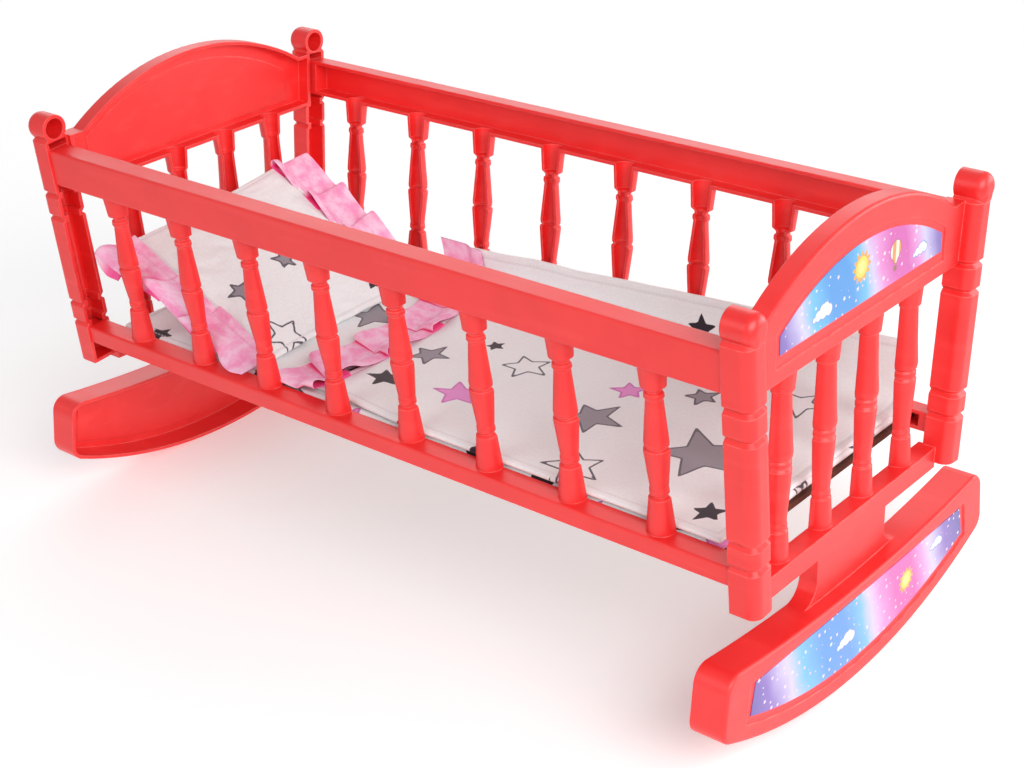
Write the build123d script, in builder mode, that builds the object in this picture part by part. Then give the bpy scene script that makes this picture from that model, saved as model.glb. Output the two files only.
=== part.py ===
from build123d import *
import math
import os

os.makedirs("parts", exist_ok=True)

# Doll cradle. Millimetres, +Z up, +X towards the foot end, -Y the front side.
# The origin is on the floor, midway between the two rockers.
# The two ends mirror each other, and so do the two sides. Each is a thin-walled
# tray that is open towards the bed.

# Overall: the bed's length is between the posts of its two ends
BED_LENGTH = 400.0
HALF_WIDTH_AT_FLOOR = 80.6
FLARE_ANGLE = 5.08
WALL = 1.8
FIT_CLEARANCE = 0.3

# End moulding: depths outwards from its inner rim, which stands in from the posts' rim
RIM_STEP = 2.5
FACE_DEPTH = 9.0
ROCKER_DEPTH = 17.0

# Posts: heights are measured along the leaning post
POST_WIDTH = 14.5
POST_CORNER_RADIUS = 5.0
POST_DEPTH = 13.5
POST_BOTTOM = 71.6
POST_BASE_TOP = 94.7
POST_LOWER_RING_TOP = 106.2
POST_SHAFT_TOP = 155.1
POST_UPPER_RING_TOP = 168.1
POST_CAP_MARGIN = 5.1
POST_GROOVE = 1.8
POST_RIB = 1.6
KNOB_RADIUS = 7.0
KNOB_RISE = 4.4
KNOB_LENGTH = 14.5
KNOB_END_RADIUS = 4.5

# Arched panel between the posts: its shoulders meet them just under their tops
ARCH_BOTTOM = 168.7
ARCH_SHOULDER_DROP = 0.6
ARCH_RISE = 23.7
ARCH_HALF_CHORD = 76.2
ARCH_EDGE_RADIUS = 1.6

# Sunk field and sticker on the arched panel
FIELD_SINK = 0.6
ARCH_STICKER_LIFT = 11.4
ARCH_STICKER_HALF_WIDTH = 64.8
ARCH_STICKER_BORDER = 13.8
ARCH_FIELD_MARGIN = 3.0
ARCH_FIELD_DROP = 5.2
STICKER_THICKNESS = 0.3

# Bottom rail, stem and rocker of the end moulding
END_RAIL_BOTTOM = 69.8
END_RAIL_TOP = 80.1
STEM_HALF_WIDTH = 28.5
STEM_FOOT_RADIUS = 10.0
ROCKER_BOTTOM_RADIUS = 255.2
ROCKER_MID_HEIGHT = 48.2
ROCKER_END_HEIGHT = 55.8
ROCKER_HALF_LENGTH = 111.5
ROCKER_END_LEAN = 4.0
ROCKER_END_RADIUS = 8.0
ROCKER_EDGE_RADIUS = 1.8
ROCKER_STICKER_INSET = 11.2
ROCKER_STICKER_MID_TOP = 43.2
ROCKER_STICKER_END_TOP = 43.9
ROCKER_STICKER_HALF_LENGTH = 91.1
ROCKER_STICKER_TAPER = 3.5
ROCKER_FIELD_MARGIN = 3.7
ROCKER_FIELD_TOP_MARGIN = 1.2

# End spindles
END_SPINDLE_COUNT = 4
END_SPINDLE_PITCH = 34.3
END_SPINDLE_RADIUS = 6.5
END_SPINDLE_AXIS_DEPTH = 1.5
SPINDLE_WALL = 1.4
END_SPINDLE_SHARES = [
    (0.000, 1.00),
    (0.110, 0.88),
    (0.122, 0.72),
    (0.300, 0.82),
    (0.430, 0.94),
    (0.453, 0.90),
    (0.465, 0.78),
    (0.475, 0.86),
    (0.497, 0.86),
    (0.505, 0.78),
    (0.520, 0.90),
    (0.600, 0.84),
    (0.800, 0.66),
    (0.812, 0.72),
    (0.828, 0.72),
    (0.836, 0.66),
    (0.845, 0.78),
    (1.000, 0.92),
]

# Side moulding: heights are measured along its leaning face
RAIL_INSET = 1.0
RAIL_DEPTH = 10.5
SIDE_RAIL_LOW = 83.7
SIDE_RAIL_LOW_HEIGHT = 9.4
SIDE_RAIL_HIGH = 174.2
SIDE_RAIL_HIGH_HEIGHT = 18.8
RAIL_EDGE_RADIUS = 1.2
TONGUE_LENGTH = 9.0
TONGUE_ROOT = 5.0
SIDE_SPINDLE_COUNT = 8
SIDE_SPINDLE_PITCH = 46.6
SIDE_SPINDLE_SHIFT = -2.3
SIDE_SPINDLE_RADIUS = 6.8
SIDE_SPINDLE_AXIS_DEPTH = 1.5
SIDE_SPINDLE_SHARES = [
    (0.000, 0.97),
    (0.140, 0.83),
    (0.156, 0.52),
    (0.170, 0.50),
    (0.182, 0.64),
    (0.204, 0.66),
    (0.218, 0.56),
    (0.330, 0.68),
    (0.460, 0.82),
    (0.484, 0.80),
    (0.494, 0.68),
    (0.506, 0.84),
    (0.520, 0.86),
    (0.640, 0.72),
    (0.733, 0.60),
    (0.745, 0.64),
    (0.770, 0.64),
    (0.785, 0.50),
    (0.800, 0.72),
    (1.000, 0.98),
]

# Base board, carried in the channels of the lower side rails
BOARD_THICKNESS = 2.5
BOARD_END_GAP = 11.0
BOARD_EDGE_GAP = 1.2

# Bedding
SOFT_CLEARANCE = 0.3
BED_SIDE_CLEARANCE = 0.5
MATTRESS_THICKNESS = 5.0
MATTRESS_CROWN = 0.5
MATTRESS_END_GAP = 9.5
MATTRESS_CORNER_RADIUS = 6.0

PILLOW_LENGTH = 102.4
PILLOW_WIDTH = 102.0
PILLOW_THICKNESS = 9.0
PILLOW_SEAM = 2.4
PILLOW_SIDE_FULLNESS = 1.5
PILLOW_DRAWN_IN = 2.0
PILLOW_CORNER_RADIUS = 3.0
PILLOW_PITCH = 27.6
PILLOW_TURN = 2.9
PILLOW_HEAD_GAP = 13.9
PILLOW_SHIFT = -14.5

RUFFLE_THICKNESS = 1.2
RUFFLE_PLEAT_RISE = 1.2
RUFFLE_PLEAT_SHARES = [0.0, 0.1, 0.9]
FRONT_RUFFLE_FLARE = 20.0
FRONT_RUFFLE_RELIEF = 4.0
FRONT_RUFFLE_PLEATS = 4
REAR_RUFFLE_WIDTH = 25.0
REAR_RUFFLE_FLARE = 0.0
REAR_RUFFLE_RELIEF = 0.5
REAR_RUFFLE_PLEATS = 4

BLANKET_THICKNESS = 3.0
BLANKET_PILLOW_GAP = 14.5
BLANKET_HEAD_SKEW = 10.0
BLANKET_FOOT_GAP = 9.0
BLANKET_TURN_RADIUS = 12.0
BLANKET_HEAD_RISE = 18.0
BLANKET_FOOT_RISE = 33.0
BLANKET_RUFFLE_WIDTH = 31.0
BLANKET_RUFFLE_PLEATS = 6

# Worked out from the sizes above
rim_x = BED_LENGTH / 2
panel_x = rim_x - RIM_STEP
lean = math.radians(FLARE_ANGLE)
lean_sin = math.sin(lean)
lean_cos = math.cos(lean)
lean_tan = math.tan(lean)
side_rail_low_top = SIDE_RAIL_LOW + SIDE_RAIL_LOW_HEIGHT
side_rail_high_top = SIDE_RAIL_HIGH + SIDE_RAIL_HIGH_HEIGHT
post_top = side_rail_high_top + POST_CAP_MARGIN
knob_height = post_top + KNOB_RISE
arch_shoulder = post_top - ARCH_SHOULDER_DROP
arch_top = arch_shoulder + ARCH_RISE
arch_sticker_bottom = ARCH_BOTTOM + ARCH_STICKER_LIFT


def post_outer(height):
    """Half width across the outer faces of the posts, at a height above the floor."""
    return HALF_WIDTH_AT_FLOOR + height * lean_tan


def post_inner(height):
    """Half width between the inner faces of the posts."""
    return post_outer(height) - POST_WIDTH / lean_cos


def bed_half_width(height):
    """Half width between the inner rims of the two side mouldings."""
    return post_outer(height) - (RAIL_INSET + RAIL_DEPTH) / lean_cos


def across_post(slant_height):
    """Plane square to the rear post's axis: local x outwards along the bed, local y to the rear."""
    return Plane(
        origin=(
            rim_x,
            HALF_WIDTH_AT_FLOOR + slant_height * lean_sin - POST_WIDTH / 2 * lean_cos,
            slant_height * lean_cos + POST_WIDTH / 2 * lean_sin,
        ),
        x_dir=(1, 0, 0),
        z_dir=(0, lean_sin, lean_cos),
    )


post_rim = Plane.YZ.offset(rim_x)
panel_rim = Plane.YZ.offset(panel_x)
panel_face = panel_rim.offset(FACE_DEPTH)
rocker_face = panel_rim.offset(ROCKER_DEPTH)

# Leaning outer face of the front side moulding: local x along the bed, local y up the face
side_face = Plane(
    origin=(0, -HALF_WIDTH_AT_FLOOR + RAIL_INSET * lean_cos, RAIL_INSET * lean_sin),
    x_dir=(1, 0, 0),
    z_dir=(0, -lean_cos, -lean_sin),
)
side_rim = side_face.offset(-RAIL_DEPTH)


# Posts of the end moulding

def post_block(bottom, top, low_groove, high_groove):
    """One block of the post, bevelled where a groove rings it."""
    with BuildPart() as block:
        with BuildSketch(across_post(bottom)):
            with Locations((POST_DEPTH / 2, 0)):
                Rectangle(POST_DEPTH, POST_WIDTH)
            fillet(vertices().group_by(Axis.X)[-1], POST_CORNER_RADIUS)
        extrude(amount=top - bottom)
        ends = faces().filter_by(Plane(origin=(0, 0, 0), z_dir=(0, lean_sin, lean_cos))).sort_by(Axis.Z)
        bevels = []
        if low_groove:
            bevels += ends[0].edges().sort_by(Axis.X)[1:]
        if high_groove:
            bevels += ends[-1].edges().sort_by(Axis.X)[1:]
        chamfer(bevels, POST_GROOVE)
    return block.part


post_levels = [
    POST_BOTTOM,
    POST_BASE_TOP,
    POST_LOWER_RING_TOP,
    POST_SHAFT_TOP,
    POST_UPPER_RING_TOP,
    post_top,
]
post_blocks = [
    post_block(low, high, low != POST_BOTTOM, True)
    for low, high in zip(post_levels, post_levels[1:])
]

high_tongue_bottom = SIDE_RAIL_HIGH + WALL
high_tongue_top = side_rail_high_top - WALL
low_tongue_bottom = SIDE_RAIL_LOW + WALL
low_tongue_top = side_rail_low_top - WALL
rib_levels = [
    low_tongue_bottom - FIT_CLEARANCE - POST_RIB,
    high_tongue_bottom - FIT_CLEARANCE - POST_RIB,
    high_tongue_top + FIT_CLEARANCE,
]
knob_y = post_outer(knob_height) - POST_WIDTH / 2 / lean_cos

with BuildPart() as rear_post:
    for block in post_blocks:
        add(block)
    with BuildSketch(post_rim):
        with Locations((knob_y, knob_height)):
            Circle(KNOB_RADIUS)
    extrude(amount=KNOB_LENGTH)
    fillet(edges().filter_by(GeomType.CIRCLE).sort_by(Axis.X)[-1], KNOB_END_RADIUS)
    # The hollow: a socket in each block, joined by a channel that clears the grooves
    for low, high in zip(post_levels, post_levels[1:]):
        with BuildSketch(across_post(low + WALL)):
            with Locations(((POST_DEPTH - WALL) / 2, 0)):
                Rectangle(POST_DEPTH - WALL, POST_WIDTH - 2 * WALL)
            fillet(vertices().group_by(Axis.X)[-1], POST_CORNER_RADIUS - WALL)
        extrude(amount=high - low - 2 * WALL, mode=Mode.SUBTRACT)
    with BuildSketch(across_post(POST_BOTTOM + WALL)):
        with Locations(((POST_DEPTH - WALL - POST_GROOVE) / 2, 0)):
            Rectangle(POST_DEPTH - WALL - POST_GROOVE, POST_WIDTH - 2 * (WALL + POST_GROOVE))
    extrude(amount=post_top - POST_BOTTOM - 2 * WALL, mode=Mode.SUBTRACT)
    with BuildSketch(post_rim):
        with Locations((knob_y, knob_height)):
            Circle(KNOB_RADIUS - WALL)
    extrude(amount=KNOB_LENGTH - WALL, mode=Mode.SUBTRACT)
    # Ribs that locate the tongues of the side rails
    for level in rib_levels:
        with BuildSketch(across_post(level)):
            with Locations(((POST_DEPTH - WALL / 2) / 2, 0)):
                Rectangle(POST_DEPTH - WALL / 2, POST_WIDTH - WALL)
            fillet(vertices().group_by(Axis.X)[-1], POST_CORNER_RADIUS - WALL / 2)
        extrude(amount=POST_RIB)

# Spindles of the end moulding

end_spindle_length = ARCH_BOTTOM - END_RAIL_TOP
end_spindle_plane = Plane(
    origin=(panel_x + END_SPINDLE_AXIS_DEPTH, 0, END_RAIL_TOP),
    x_dir=(1, 0, 0),
    z_dir=(0, -1, 0),
)


def spindle_outline(shares, radius, length, wall, bury):
    """Half outline of a turned spindle, from its foot up, with its ends carried on by bury."""
    turned = [
        (radius * radius_share - wall, length * (1 - height_share))
        for height_share, radius_share in reversed(shares)
    ]
    foot = (turned[0][0], -bury)
    head = (turned[-1][0], length + bury)
    return [(0, -bury), foot] + turned + [head, (0, length + bury)]


with BuildPart() as end_spindle:
    with BuildSketch(end_spindle_plane):
        with BuildLine():
            Polyline(
                *spindle_outline(END_SPINDLE_SHARES, END_SPINDLE_RADIUS, end_spindle_length, 0, WALL / 2),
                close=True,
            )
        make_face()
    revolve(axis=Axis(end_spindle_plane.origin, (0, 0, 1)))
    split(bisect_by=panel_rim, keep=Keep.TOP)

# Its hollow runs on through the walls above and below it
with BuildPart() as end_spindle_hollow:
    with BuildSketch(end_spindle_plane):
        with BuildLine():
            Polyline(
                *spindle_outline(
                    END_SPINDLE_SHARES,
                    END_SPINDLE_RADIUS,
                    end_spindle_length,
                    SPINDLE_WALL,
                    WALL + FIT_CLEARANCE,
                ),
                close=True,
            )
        make_face()
    revolve(axis=Axis(end_spindle_plane.origin, (0, 0, 1)))

end_spindle_places = [
    (0, (index - (END_SPINDLE_COUNT - 1) / 2) * END_SPINDLE_PITCH, 0)
    for index in range(END_SPINDLE_COUNT)
]

# Arched panel

arch_radius = (ARCH_HALF_CHORD**2 + ARCH_RISE**2) / (2 * ARCH_RISE)
arch_centre = arch_top - arch_radius


def arch_height(half_width, radius):
    """Height of an arc about the arch's centre, at a distance from the middle."""
    return arch_centre + math.sqrt(radius**2 - half_width**2)


def arched_outline(bottom, half_width, radius):
    """Closed line: flat below, upright at the sides, one arc over the top."""
    side_top = arch_height(half_width, radius)
    Polyline(
        (-half_width, side_top),
        (-half_width, bottom),
        (half_width, bottom),
        (half_width, side_top),
    )
    ThreePointArc((half_width, side_top), (0, arch_centre + radius), (-half_width, side_top))


with BuildSketch(panel_rim) as arch_sketch:
    with BuildLine():
        Polyline(
            (-ARCH_HALF_CHORD, arch_shoulder),
            (-post_inner(arch_shoulder) - WALL / 2, arch_shoulder),
            (-post_inner(ARCH_BOTTOM) - WALL / 2, ARCH_BOTTOM),
            (post_inner(ARCH_BOTTOM) + WALL / 2, ARCH_BOTTOM),
            (post_inner(arch_shoulder) + WALL / 2, arch_shoulder),
            (ARCH_HALF_CHORD, arch_shoulder),
        )
        ThreePointArc(
            (ARCH_HALF_CHORD, arch_shoulder),
            (0, arch_top),
            (-ARCH_HALF_CHORD, arch_shoulder),
        )
    make_face()

arch_field_radius = arch_radius - ARCH_STICKER_BORDER + ARCH_FIELD_MARGIN
arch_field_half_width = ARCH_STICKER_HALF_WIDTH + ARCH_FIELD_MARGIN
arch_field_bottom = arch_sticker_bottom - ARCH_FIELD_DROP

with BuildPart() as arched_panel:
    with BuildSketch(panel_rim):
        add(arch_sketch.sketch_local)
    extrude(amount=FACE_DEPTH)
    fillet(edges().filter_by(GeomType.CIRCLE).sort_by(Axis.X)[-1], ARCH_EDGE_RADIUS)
    with BuildSketch(panel_rim):
        add(arch_sketch.sketch_local)
        offset(amount=-WALL, mode=Mode.REPLACE)
    extrude(amount=FACE_DEPTH - WALL, mode=Mode.SUBTRACT)
    # The sunk field, with its step repeated on the inner side
    with BuildSketch(panel_face.offset(-WALL - FIELD_SINK)):
        with BuildLine():
            arched_outline(
                arch_field_bottom - WALL,
                arch_field_half_width + WALL,
                arch_field_radius + WALL,
            )
        make_face()
    extrude(amount=WALL)
    with BuildSketch(panel_face):
        with BuildLine():
            arched_outline(arch_field_bottom, arch_field_half_width, arch_field_radius)
        make_face()
    extrude(amount=-FIELD_SINK, mode=Mode.SUBTRACT)

# Rocker, stem and bottom rail


def rocker_bottom(half_length, inset):
    """Height of the rocker's lower arc, moved in by inset, at a distance from the middle."""
    return ROCKER_BOTTOM_RADIUS - math.sqrt((ROCKER_BOTTOM_RADIUS - inset) ** 2 - half_length**2)


def crescent_outline(low_half, high_half, inset, mid_top, end_top):
    """Closed line over the rocker's lower arc, moved in by inset, and under a flatter upper arc."""
    low = rocker_bottom(low_half, inset)
    ThreePointArc((-low_half, low), (0, inset), (low_half, low))
    Line((low_half, low), (high_half, end_top))
    ThreePointArc((high_half, end_top), (0, mid_top), (-high_half, end_top))
    Line((-high_half, end_top), (-low_half, low))


with BuildSketch(panel_rim) as rocker_sketch:
    with BuildLine():
        crescent_outline(
            ROCKER_HALF_LENGTH,
            ROCKER_HALF_LENGTH - ROCKER_END_LEAN,
            0,
            ROCKER_MID_HEIGHT,
            ROCKER_END_HEIGHT,
        )
    make_face()
    fillet(vertices(), ROCKER_END_RADIUS)

stem_share = STEM_HALF_WIDTH / (ROCKER_HALF_LENGTH - ROCKER_END_LEAN)

with BuildSketch(panel_rim) as stem_sketch:
    add(rocker_sketch.sketch_local)
    with BuildLine():
        Polyline(
            (-STEM_HALF_WIDTH, ROCKER_MID_HEIGHT / 2),
            (STEM_HALF_WIDTH, ROCKER_MID_HEIGHT / 2),
            (STEM_HALF_WIDTH, END_RAIL_BOTTOM + WALL / 2),
            (-STEM_HALF_WIDTH, END_RAIL_BOTTOM + WALL / 2),
            close=True,
        )
    make_face()
    stem_foot = ROCKER_MID_HEIGHT + (ROCKER_END_HEIGHT - ROCKER_MID_HEIGHT) * stem_share**2
    fillet(
        vertices().filter_by(
            lambda vertex: abs(abs(vertex.X) - STEM_HALF_WIDTH) < WALL and abs(vertex.Y - stem_foot) < WALL
        ),
        STEM_FOOT_RADIUS,
    )
    with BuildLine():
        Polyline(
            (-post_inner(END_RAIL_BOTTOM) - WALL / 2, END_RAIL_BOTTOM),
            (post_inner(END_RAIL_BOTTOM) + WALL / 2, END_RAIL_BOTTOM),
            (post_inner(END_RAIL_TOP) + WALL / 2, END_RAIL_TOP),
            (-post_inner(END_RAIL_TOP) - WALL / 2, END_RAIL_TOP),
            close=True,
        )
    make_face()

rocker_field_inset = ROCKER_STICKER_INSET - ROCKER_FIELD_MARGIN
rocker_field_mid_top = ROCKER_STICKER_MID_TOP + ROCKER_FIELD_TOP_MARGIN
rocker_field_end_top = ROCKER_STICKER_END_TOP + ROCKER_FIELD_TOP_MARGIN
rocker_field_low = ROCKER_STICKER_HALF_LENGTH + ROCKER_FIELD_MARGIN
rocker_field_high = rocker_field_low - ROCKER_STICKER_TAPER

with BuildPart() as rocker:
    with BuildSketch(panel_rim):
        add(rocker_sketch.sketch_local)
    extrude(amount=ROCKER_DEPTH)
    fillet(faces().sort_by(Axis.X)[-1].edges(), ROCKER_EDGE_RADIUS)
    with BuildSketch(panel_rim):
        add(stem_sketch.sketch_local)
    extrude(amount=FACE_DEPTH)
    with BuildSketch(panel_rim):
        add(stem_sketch.sketch_local)
        offset(amount=-WALL, mode=Mode.REPLACE)
    extrude(amount=FACE_DEPTH - WALL, mode=Mode.SUBTRACT)
    with BuildSketch(panel_rim):
        add(rocker_sketch.sketch_local)
        offset(amount=-WALL, mode=Mode.REPLACE)
    extrude(amount=ROCKER_DEPTH - WALL, mode=Mode.SUBTRACT)
    # The sunk field, with its step repeated on the inner side
    with BuildSketch(rocker_face.offset(-WALL - FIELD_SINK)):
        with BuildLine():
            crescent_outline(
                rocker_field_low + WALL,
                rocker_field_high + WALL,
                rocker_field_inset - WALL,
                rocker_field_mid_top + WALL,
                rocker_field_end_top + WALL,
            )
        make_face()
    extrude(amount=WALL)
    with BuildSketch(rocker_face):
        with BuildLine():
            crescent_outline(
                rocker_field_low,
                rocker_field_high,
                rocker_field_inset,
                rocker_field_mid_top,
                rocker_field_end_top,
            )
        make_face()
    extrude(amount=-FIELD_SINK, mode=Mode.SUBTRACT)

# The whole end moulding

with BuildPart() as foot_end_panel:
    add(arched_panel.part)
    add(rocker.part)
    with Locations(*end_spindle_places):
        add(end_spindle.part)
        add(end_spindle_hollow.part, mode=Mode.SUBTRACT)
    add(rear_post.part)
    mirror(rear_post.part, about=Plane.XZ)
foot_end_panel.part.label = "foot_end_panel"
export_step(foot_end_panel.part, "parts/foot_end_panel.step")

with BuildPart() as head_end_panel:
    mirror(foot_end_panel.part, about=Plane.YZ)
head_end_panel.part.label = "head_end_panel"
export_step(head_end_panel.part, "parts/head_end_panel.step")

# Stickers

with BuildPart() as foot_arch_sticker:
    with BuildSketch(panel_face.offset(-FIELD_SINK)):
        with BuildLine():
            arched_outline(
                arch_sticker_bottom,
                ARCH_STICKER_HALF_WIDTH,
                arch_radius - ARCH_STICKER_BORDER,
            )
        make_face()
    extrude(amount=STICKER_THICKNESS)
foot_arch_sticker.part.label = "foot_arch_sticker"
export_step(foot_arch_sticker.part, "parts/foot_arch_sticker.step")

with BuildPart() as foot_rocker_sticker:
    with BuildSketch(rocker_face.offset(-FIELD_SINK)):
        with BuildLine():
            crescent_outline(
                ROCKER_STICKER_HALF_LENGTH,
                ROCKER_STICKER_HALF_LENGTH - ROCKER_STICKER_TAPER,
                ROCKER_STICKER_INSET,
                ROCKER_STICKER_MID_TOP,
                ROCKER_STICKER_END_TOP,
            )
        make_face()
    extrude(amount=STICKER_THICKNESS)
foot_rocker_sticker.part.label = "foot_rocker_sticker"
export_step(foot_rocker_sticker.part, "parts/foot_rocker_sticker.step")

with BuildPart() as head_arch_sticker:
    mirror(foot_arch_sticker.part, about=Plane.YZ)
head_arch_sticker.part.label = "head_arch_sticker"
export_step(head_arch_sticker.part, "parts/head_arch_sticker.step")

with BuildPart() as head_rocker_sticker:
    mirror(foot_rocker_sticker.part, about=Plane.YZ)
head_rocker_sticker.part.label = "head_rocker_sticker"
export_step(head_rocker_sticker.part, "parts/head_rocker_sticker.step")

# Side moulding

side_spindle_length = SIDE_RAIL_HIGH - side_rail_low_top
spindle_middle = side_face.offset(SIDE_SPINDLE_AXIS_DEPTH - RAIL_DEPTH)
side_spindle_plane = Plane(
    origin=spindle_middle.from_local_coords((0, side_rail_low_top, 0)),
    x_dir=(1, 0, 0),
    z_dir=side_face.z_dir,
)
side_spindle_axis = Axis(side_spindle_plane.origin, side_spindle_plane.y_dir)

with BuildPart() as side_spindle:
    with BuildSketch(side_spindle_plane):
        with BuildLine():
            Polyline(
                *spindle_outline(
                    SIDE_SPINDLE_SHARES, SIDE_SPINDLE_RADIUS, side_spindle_length, 0, WALL / 2
                ),
                close=True,
            )
        make_face()
    revolve(axis=side_spindle_axis)
    split(bisect_by=side_rim, keep=Keep.TOP)

# Its hollow runs on through the walls of the rails into their channels
with BuildPart() as side_spindle_hollow:
    with BuildSketch(side_spindle_plane):
        with BuildLine():
            Polyline(
                *spindle_outline(
                    SIDE_SPINDLE_SHARES,
                    SIDE_SPINDLE_RADIUS,
                    side_spindle_length,
                    SPINDLE_WALL,
                    WALL + FIT_CLEARANCE,
                ),
                close=True,
            )
        make_face()
    revolve(axis=side_spindle_axis)

side_spindle_places = [
    ((index - (SIDE_SPINDLE_COUNT - 1) / 2) * SIDE_SPINDLE_PITCH + SIDE_SPINDLE_SHIFT, 0, 0)
    for index in range(SIDE_SPINDLE_COUNT)
]
rails = [(SIDE_RAIL_LOW, side_rail_low_top), (SIDE_RAIL_HIGH, side_rail_high_top)]

with BuildPart() as front_side_panel:
    with BuildSketch(side_face):
        for low, high in rails:
            with Locations((0, (low + high) / 2)):
                Rectangle(BED_LENGTH, high - low)
    extrude(amount=-RAIL_DEPTH)
    long_edges = edges().filter_by(Axis.X)
    outer_edges = [
        edge for edge in long_edges if abs(side_face.to_local_coords(edge.center()).Z) < FIT_CLEARANCE
    ]
    fillet(outer_edges, RAIL_EDGE_RADIUS)
    # Channels, open towards the bed and closed by a solid root at each end
    with BuildSketch(side_rim):
        for low, high in rails:
            with Locations((0, (low + high) / 2)):
                Rectangle(BED_LENGTH - 2 * TONGUE_ROOT, high - low - 2 * WALL)
    extrude(amount=RAIL_DEPTH - WALL, mode=Mode.SUBTRACT)
    # Tongues that enter the sockets of the posts
    tongue_depth = RAIL_INSET - WALL - FIT_CLEARANCE
    with BuildSketch(side_face.offset(tongue_depth)):
        for low, high in rails:
            for side in (-1, 1):
                with Locations((side * (rim_x + (TONGUE_LENGTH - WALL) / 2), (low + high) / 2)):
                    Rectangle(TONGUE_LENGTH + WALL, high - low - 2 * WALL)
    extrude(amount=-RAIL_DEPTH - tongue_depth)
    with Locations(*side_spindle_places):
        add(side_spindle.part)
        add(side_spindle_hollow.part, mode=Mode.SUBTRACT)
front_side_panel.part.label = "front_side_panel"
export_step(front_side_panel.part, "parts/front_side_panel.step")

with BuildPart() as rear_side_panel:
    mirror(front_side_panel.part, about=Plane.XZ)
rear_side_panel.part.label = "rear_side_panel"
export_step(rear_side_panel.part, "parts/rear_side_panel.step")

# Base board: lies on the lower walls of the channels

channel_floor = side_rim.from_local_coords((0, low_tongue_bottom, 0))
board_bottom = channel_floor.Z
board_top = board_bottom + BOARD_THICKNESS
board_half_width = post_outer(board_top) - (RAIL_INSET + WALL + BOARD_EDGE_GAP) / lean_cos

with BuildPart() as base_board:
    with BuildSketch(Plane.XY.offset(board_bottom)):
        Rectangle(BED_LENGTH - 2 * BOARD_END_GAP, 2 * board_half_width)
    extrude(amount=BOARD_THICKNESS)
base_board.part.label = "base_board"
export_step(base_board.part, "parts/base_board.step")

# Mattress

mattress_bottom = board_top + SOFT_CLEARANCE
mattress_top = mattress_bottom + MATTRESS_THICKNESS
mattress_half_width = bed_half_width(mattress_bottom) - BED_SIDE_CLEARANCE
mattress_half_length = panel_x - MATTRESS_END_GAP

with BuildPart() as mattress:
    with BuildSketch(Plane.YZ):
        with BuildLine():
            Polyline(
                (-mattress_half_width, mattress_top - MATTRESS_CROWN),
                (-mattress_half_width, mattress_bottom),
                (mattress_half_width, mattress_bottom),
                (mattress_half_width, mattress_top - MATTRESS_CROWN),
            )
            ThreePointArc(
                (mattress_half_width, mattress_top - MATTRESS_CROWN),
                (0, mattress_top),
                (-mattress_half_width, mattress_top - MATTRESS_CROWN),
            )
        make_face()
    extrude(amount=mattress_half_length, both=True)
    fillet(edges().filter_by(Axis.Z), MATTRESS_CORNER_RADIUS)
mattress.part.label = "mattress"
export_step(mattress.part, "parts/mattress.step")

# Pillow: its foot edge lies on the mattress, its head edge is raised at the head panel

pitch = math.radians(PILLOW_PITCH)
turn = math.radians(PILLOW_TURN)
bedding_bottom = mattress_top + SOFT_CLEARANCE
pillow_reach = PILLOW_LENGTH / 2 * math.cos(pitch) * math.cos(turn)
pillow_x = -panel_x + PILLOW_HEAD_GAP + pillow_reach + PILLOW_WIDTH / 2 * math.sin(turn)
pillow_z = bedding_bottom + PILLOW_LENGTH / 2 * math.sin(pitch) + PILLOW_SEAM / 2 * math.cos(pitch)
pillow_along = Vector(math.cos(turn) * math.cos(pitch), math.sin(turn) * math.cos(pitch), -math.sin(pitch))
pillow_across = Vector(-math.sin(turn), math.cos(turn), 0)
pillow_up = pillow_along.cross(pillow_across)
pillow_centre = Vector(pillow_x, PILLOW_SHIFT, pillow_z)
pillow_plane = Plane(origin=pillow_centre, x_dir=pillow_along, z_dir=pillow_up)


def lens_outline(half_length, half_middle, half_edge):
    """Closed line of a cushion's section: thick in the middle, thin at both seams."""
    ThreePointArc((-half_length, half_edge), (0, half_middle), (half_length, half_edge))
    Line((half_length, half_edge), (half_length, -half_edge))
    ThreePointArc((half_length, -half_edge), (0, -half_middle), (-half_length, -half_edge))
    Line((-half_length, -half_edge), (-half_length, half_edge))


with BuildPart() as pillow:
    with BuildSketch(Plane(origin=pillow_centre, x_dir=pillow_along, z_dir=-pillow_across)):
        with BuildLine():
            lens_outline(PILLOW_LENGTH / 2, PILLOW_THICKNESS / 2, PILLOW_SEAM / 2)
        make_face()
    extrude(amount=PILLOW_WIDTH / 2, both=True)
    with BuildSketch(Plane(origin=pillow_centre, x_dir=pillow_across, z_dir=pillow_along)):
        with BuildLine():
            lens_outline(
                PILLOW_WIDTH / 2,
                PILLOW_THICKNESS / 2 + PILLOW_SIDE_FULLNESS,
                PILLOW_SEAM / 2,
            )
        make_face()
    extrude(amount=PILLOW_LENGTH, both=True, mode=Mode.INTERSECT)
    # The head and foot edges are drawn in between the corners
    with BuildSketch(pillow_plane):
        with BuildLine():
            for end in (-1, 1):
                ThreePointArc(
                    (end * PILLOW_LENGTH / 2, -PILLOW_WIDTH / 2),
                    (end * (PILLOW_LENGTH / 2 - PILLOW_DRAWN_IN), 0),
                    (end * PILLOW_LENGTH / 2, PILLOW_WIDTH / 2),
                )
                Line(
                    (-PILLOW_LENGTH / 2, end * PILLOW_WIDTH / 2),
                    (PILLOW_LENGTH / 2, end * PILLOW_WIDTH / 2),
                )
        make_face()
        fillet(vertices(), PILLOW_CORNER_RADIUS)
    extrude(amount=PILLOW_THICKNESS, both=True, mode=Mode.INTERSECT)
pillow.part.label = "pillow"
export_step(pillow.part, "parts/pillow.step")

# Pleated ruffles of the pillow


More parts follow.
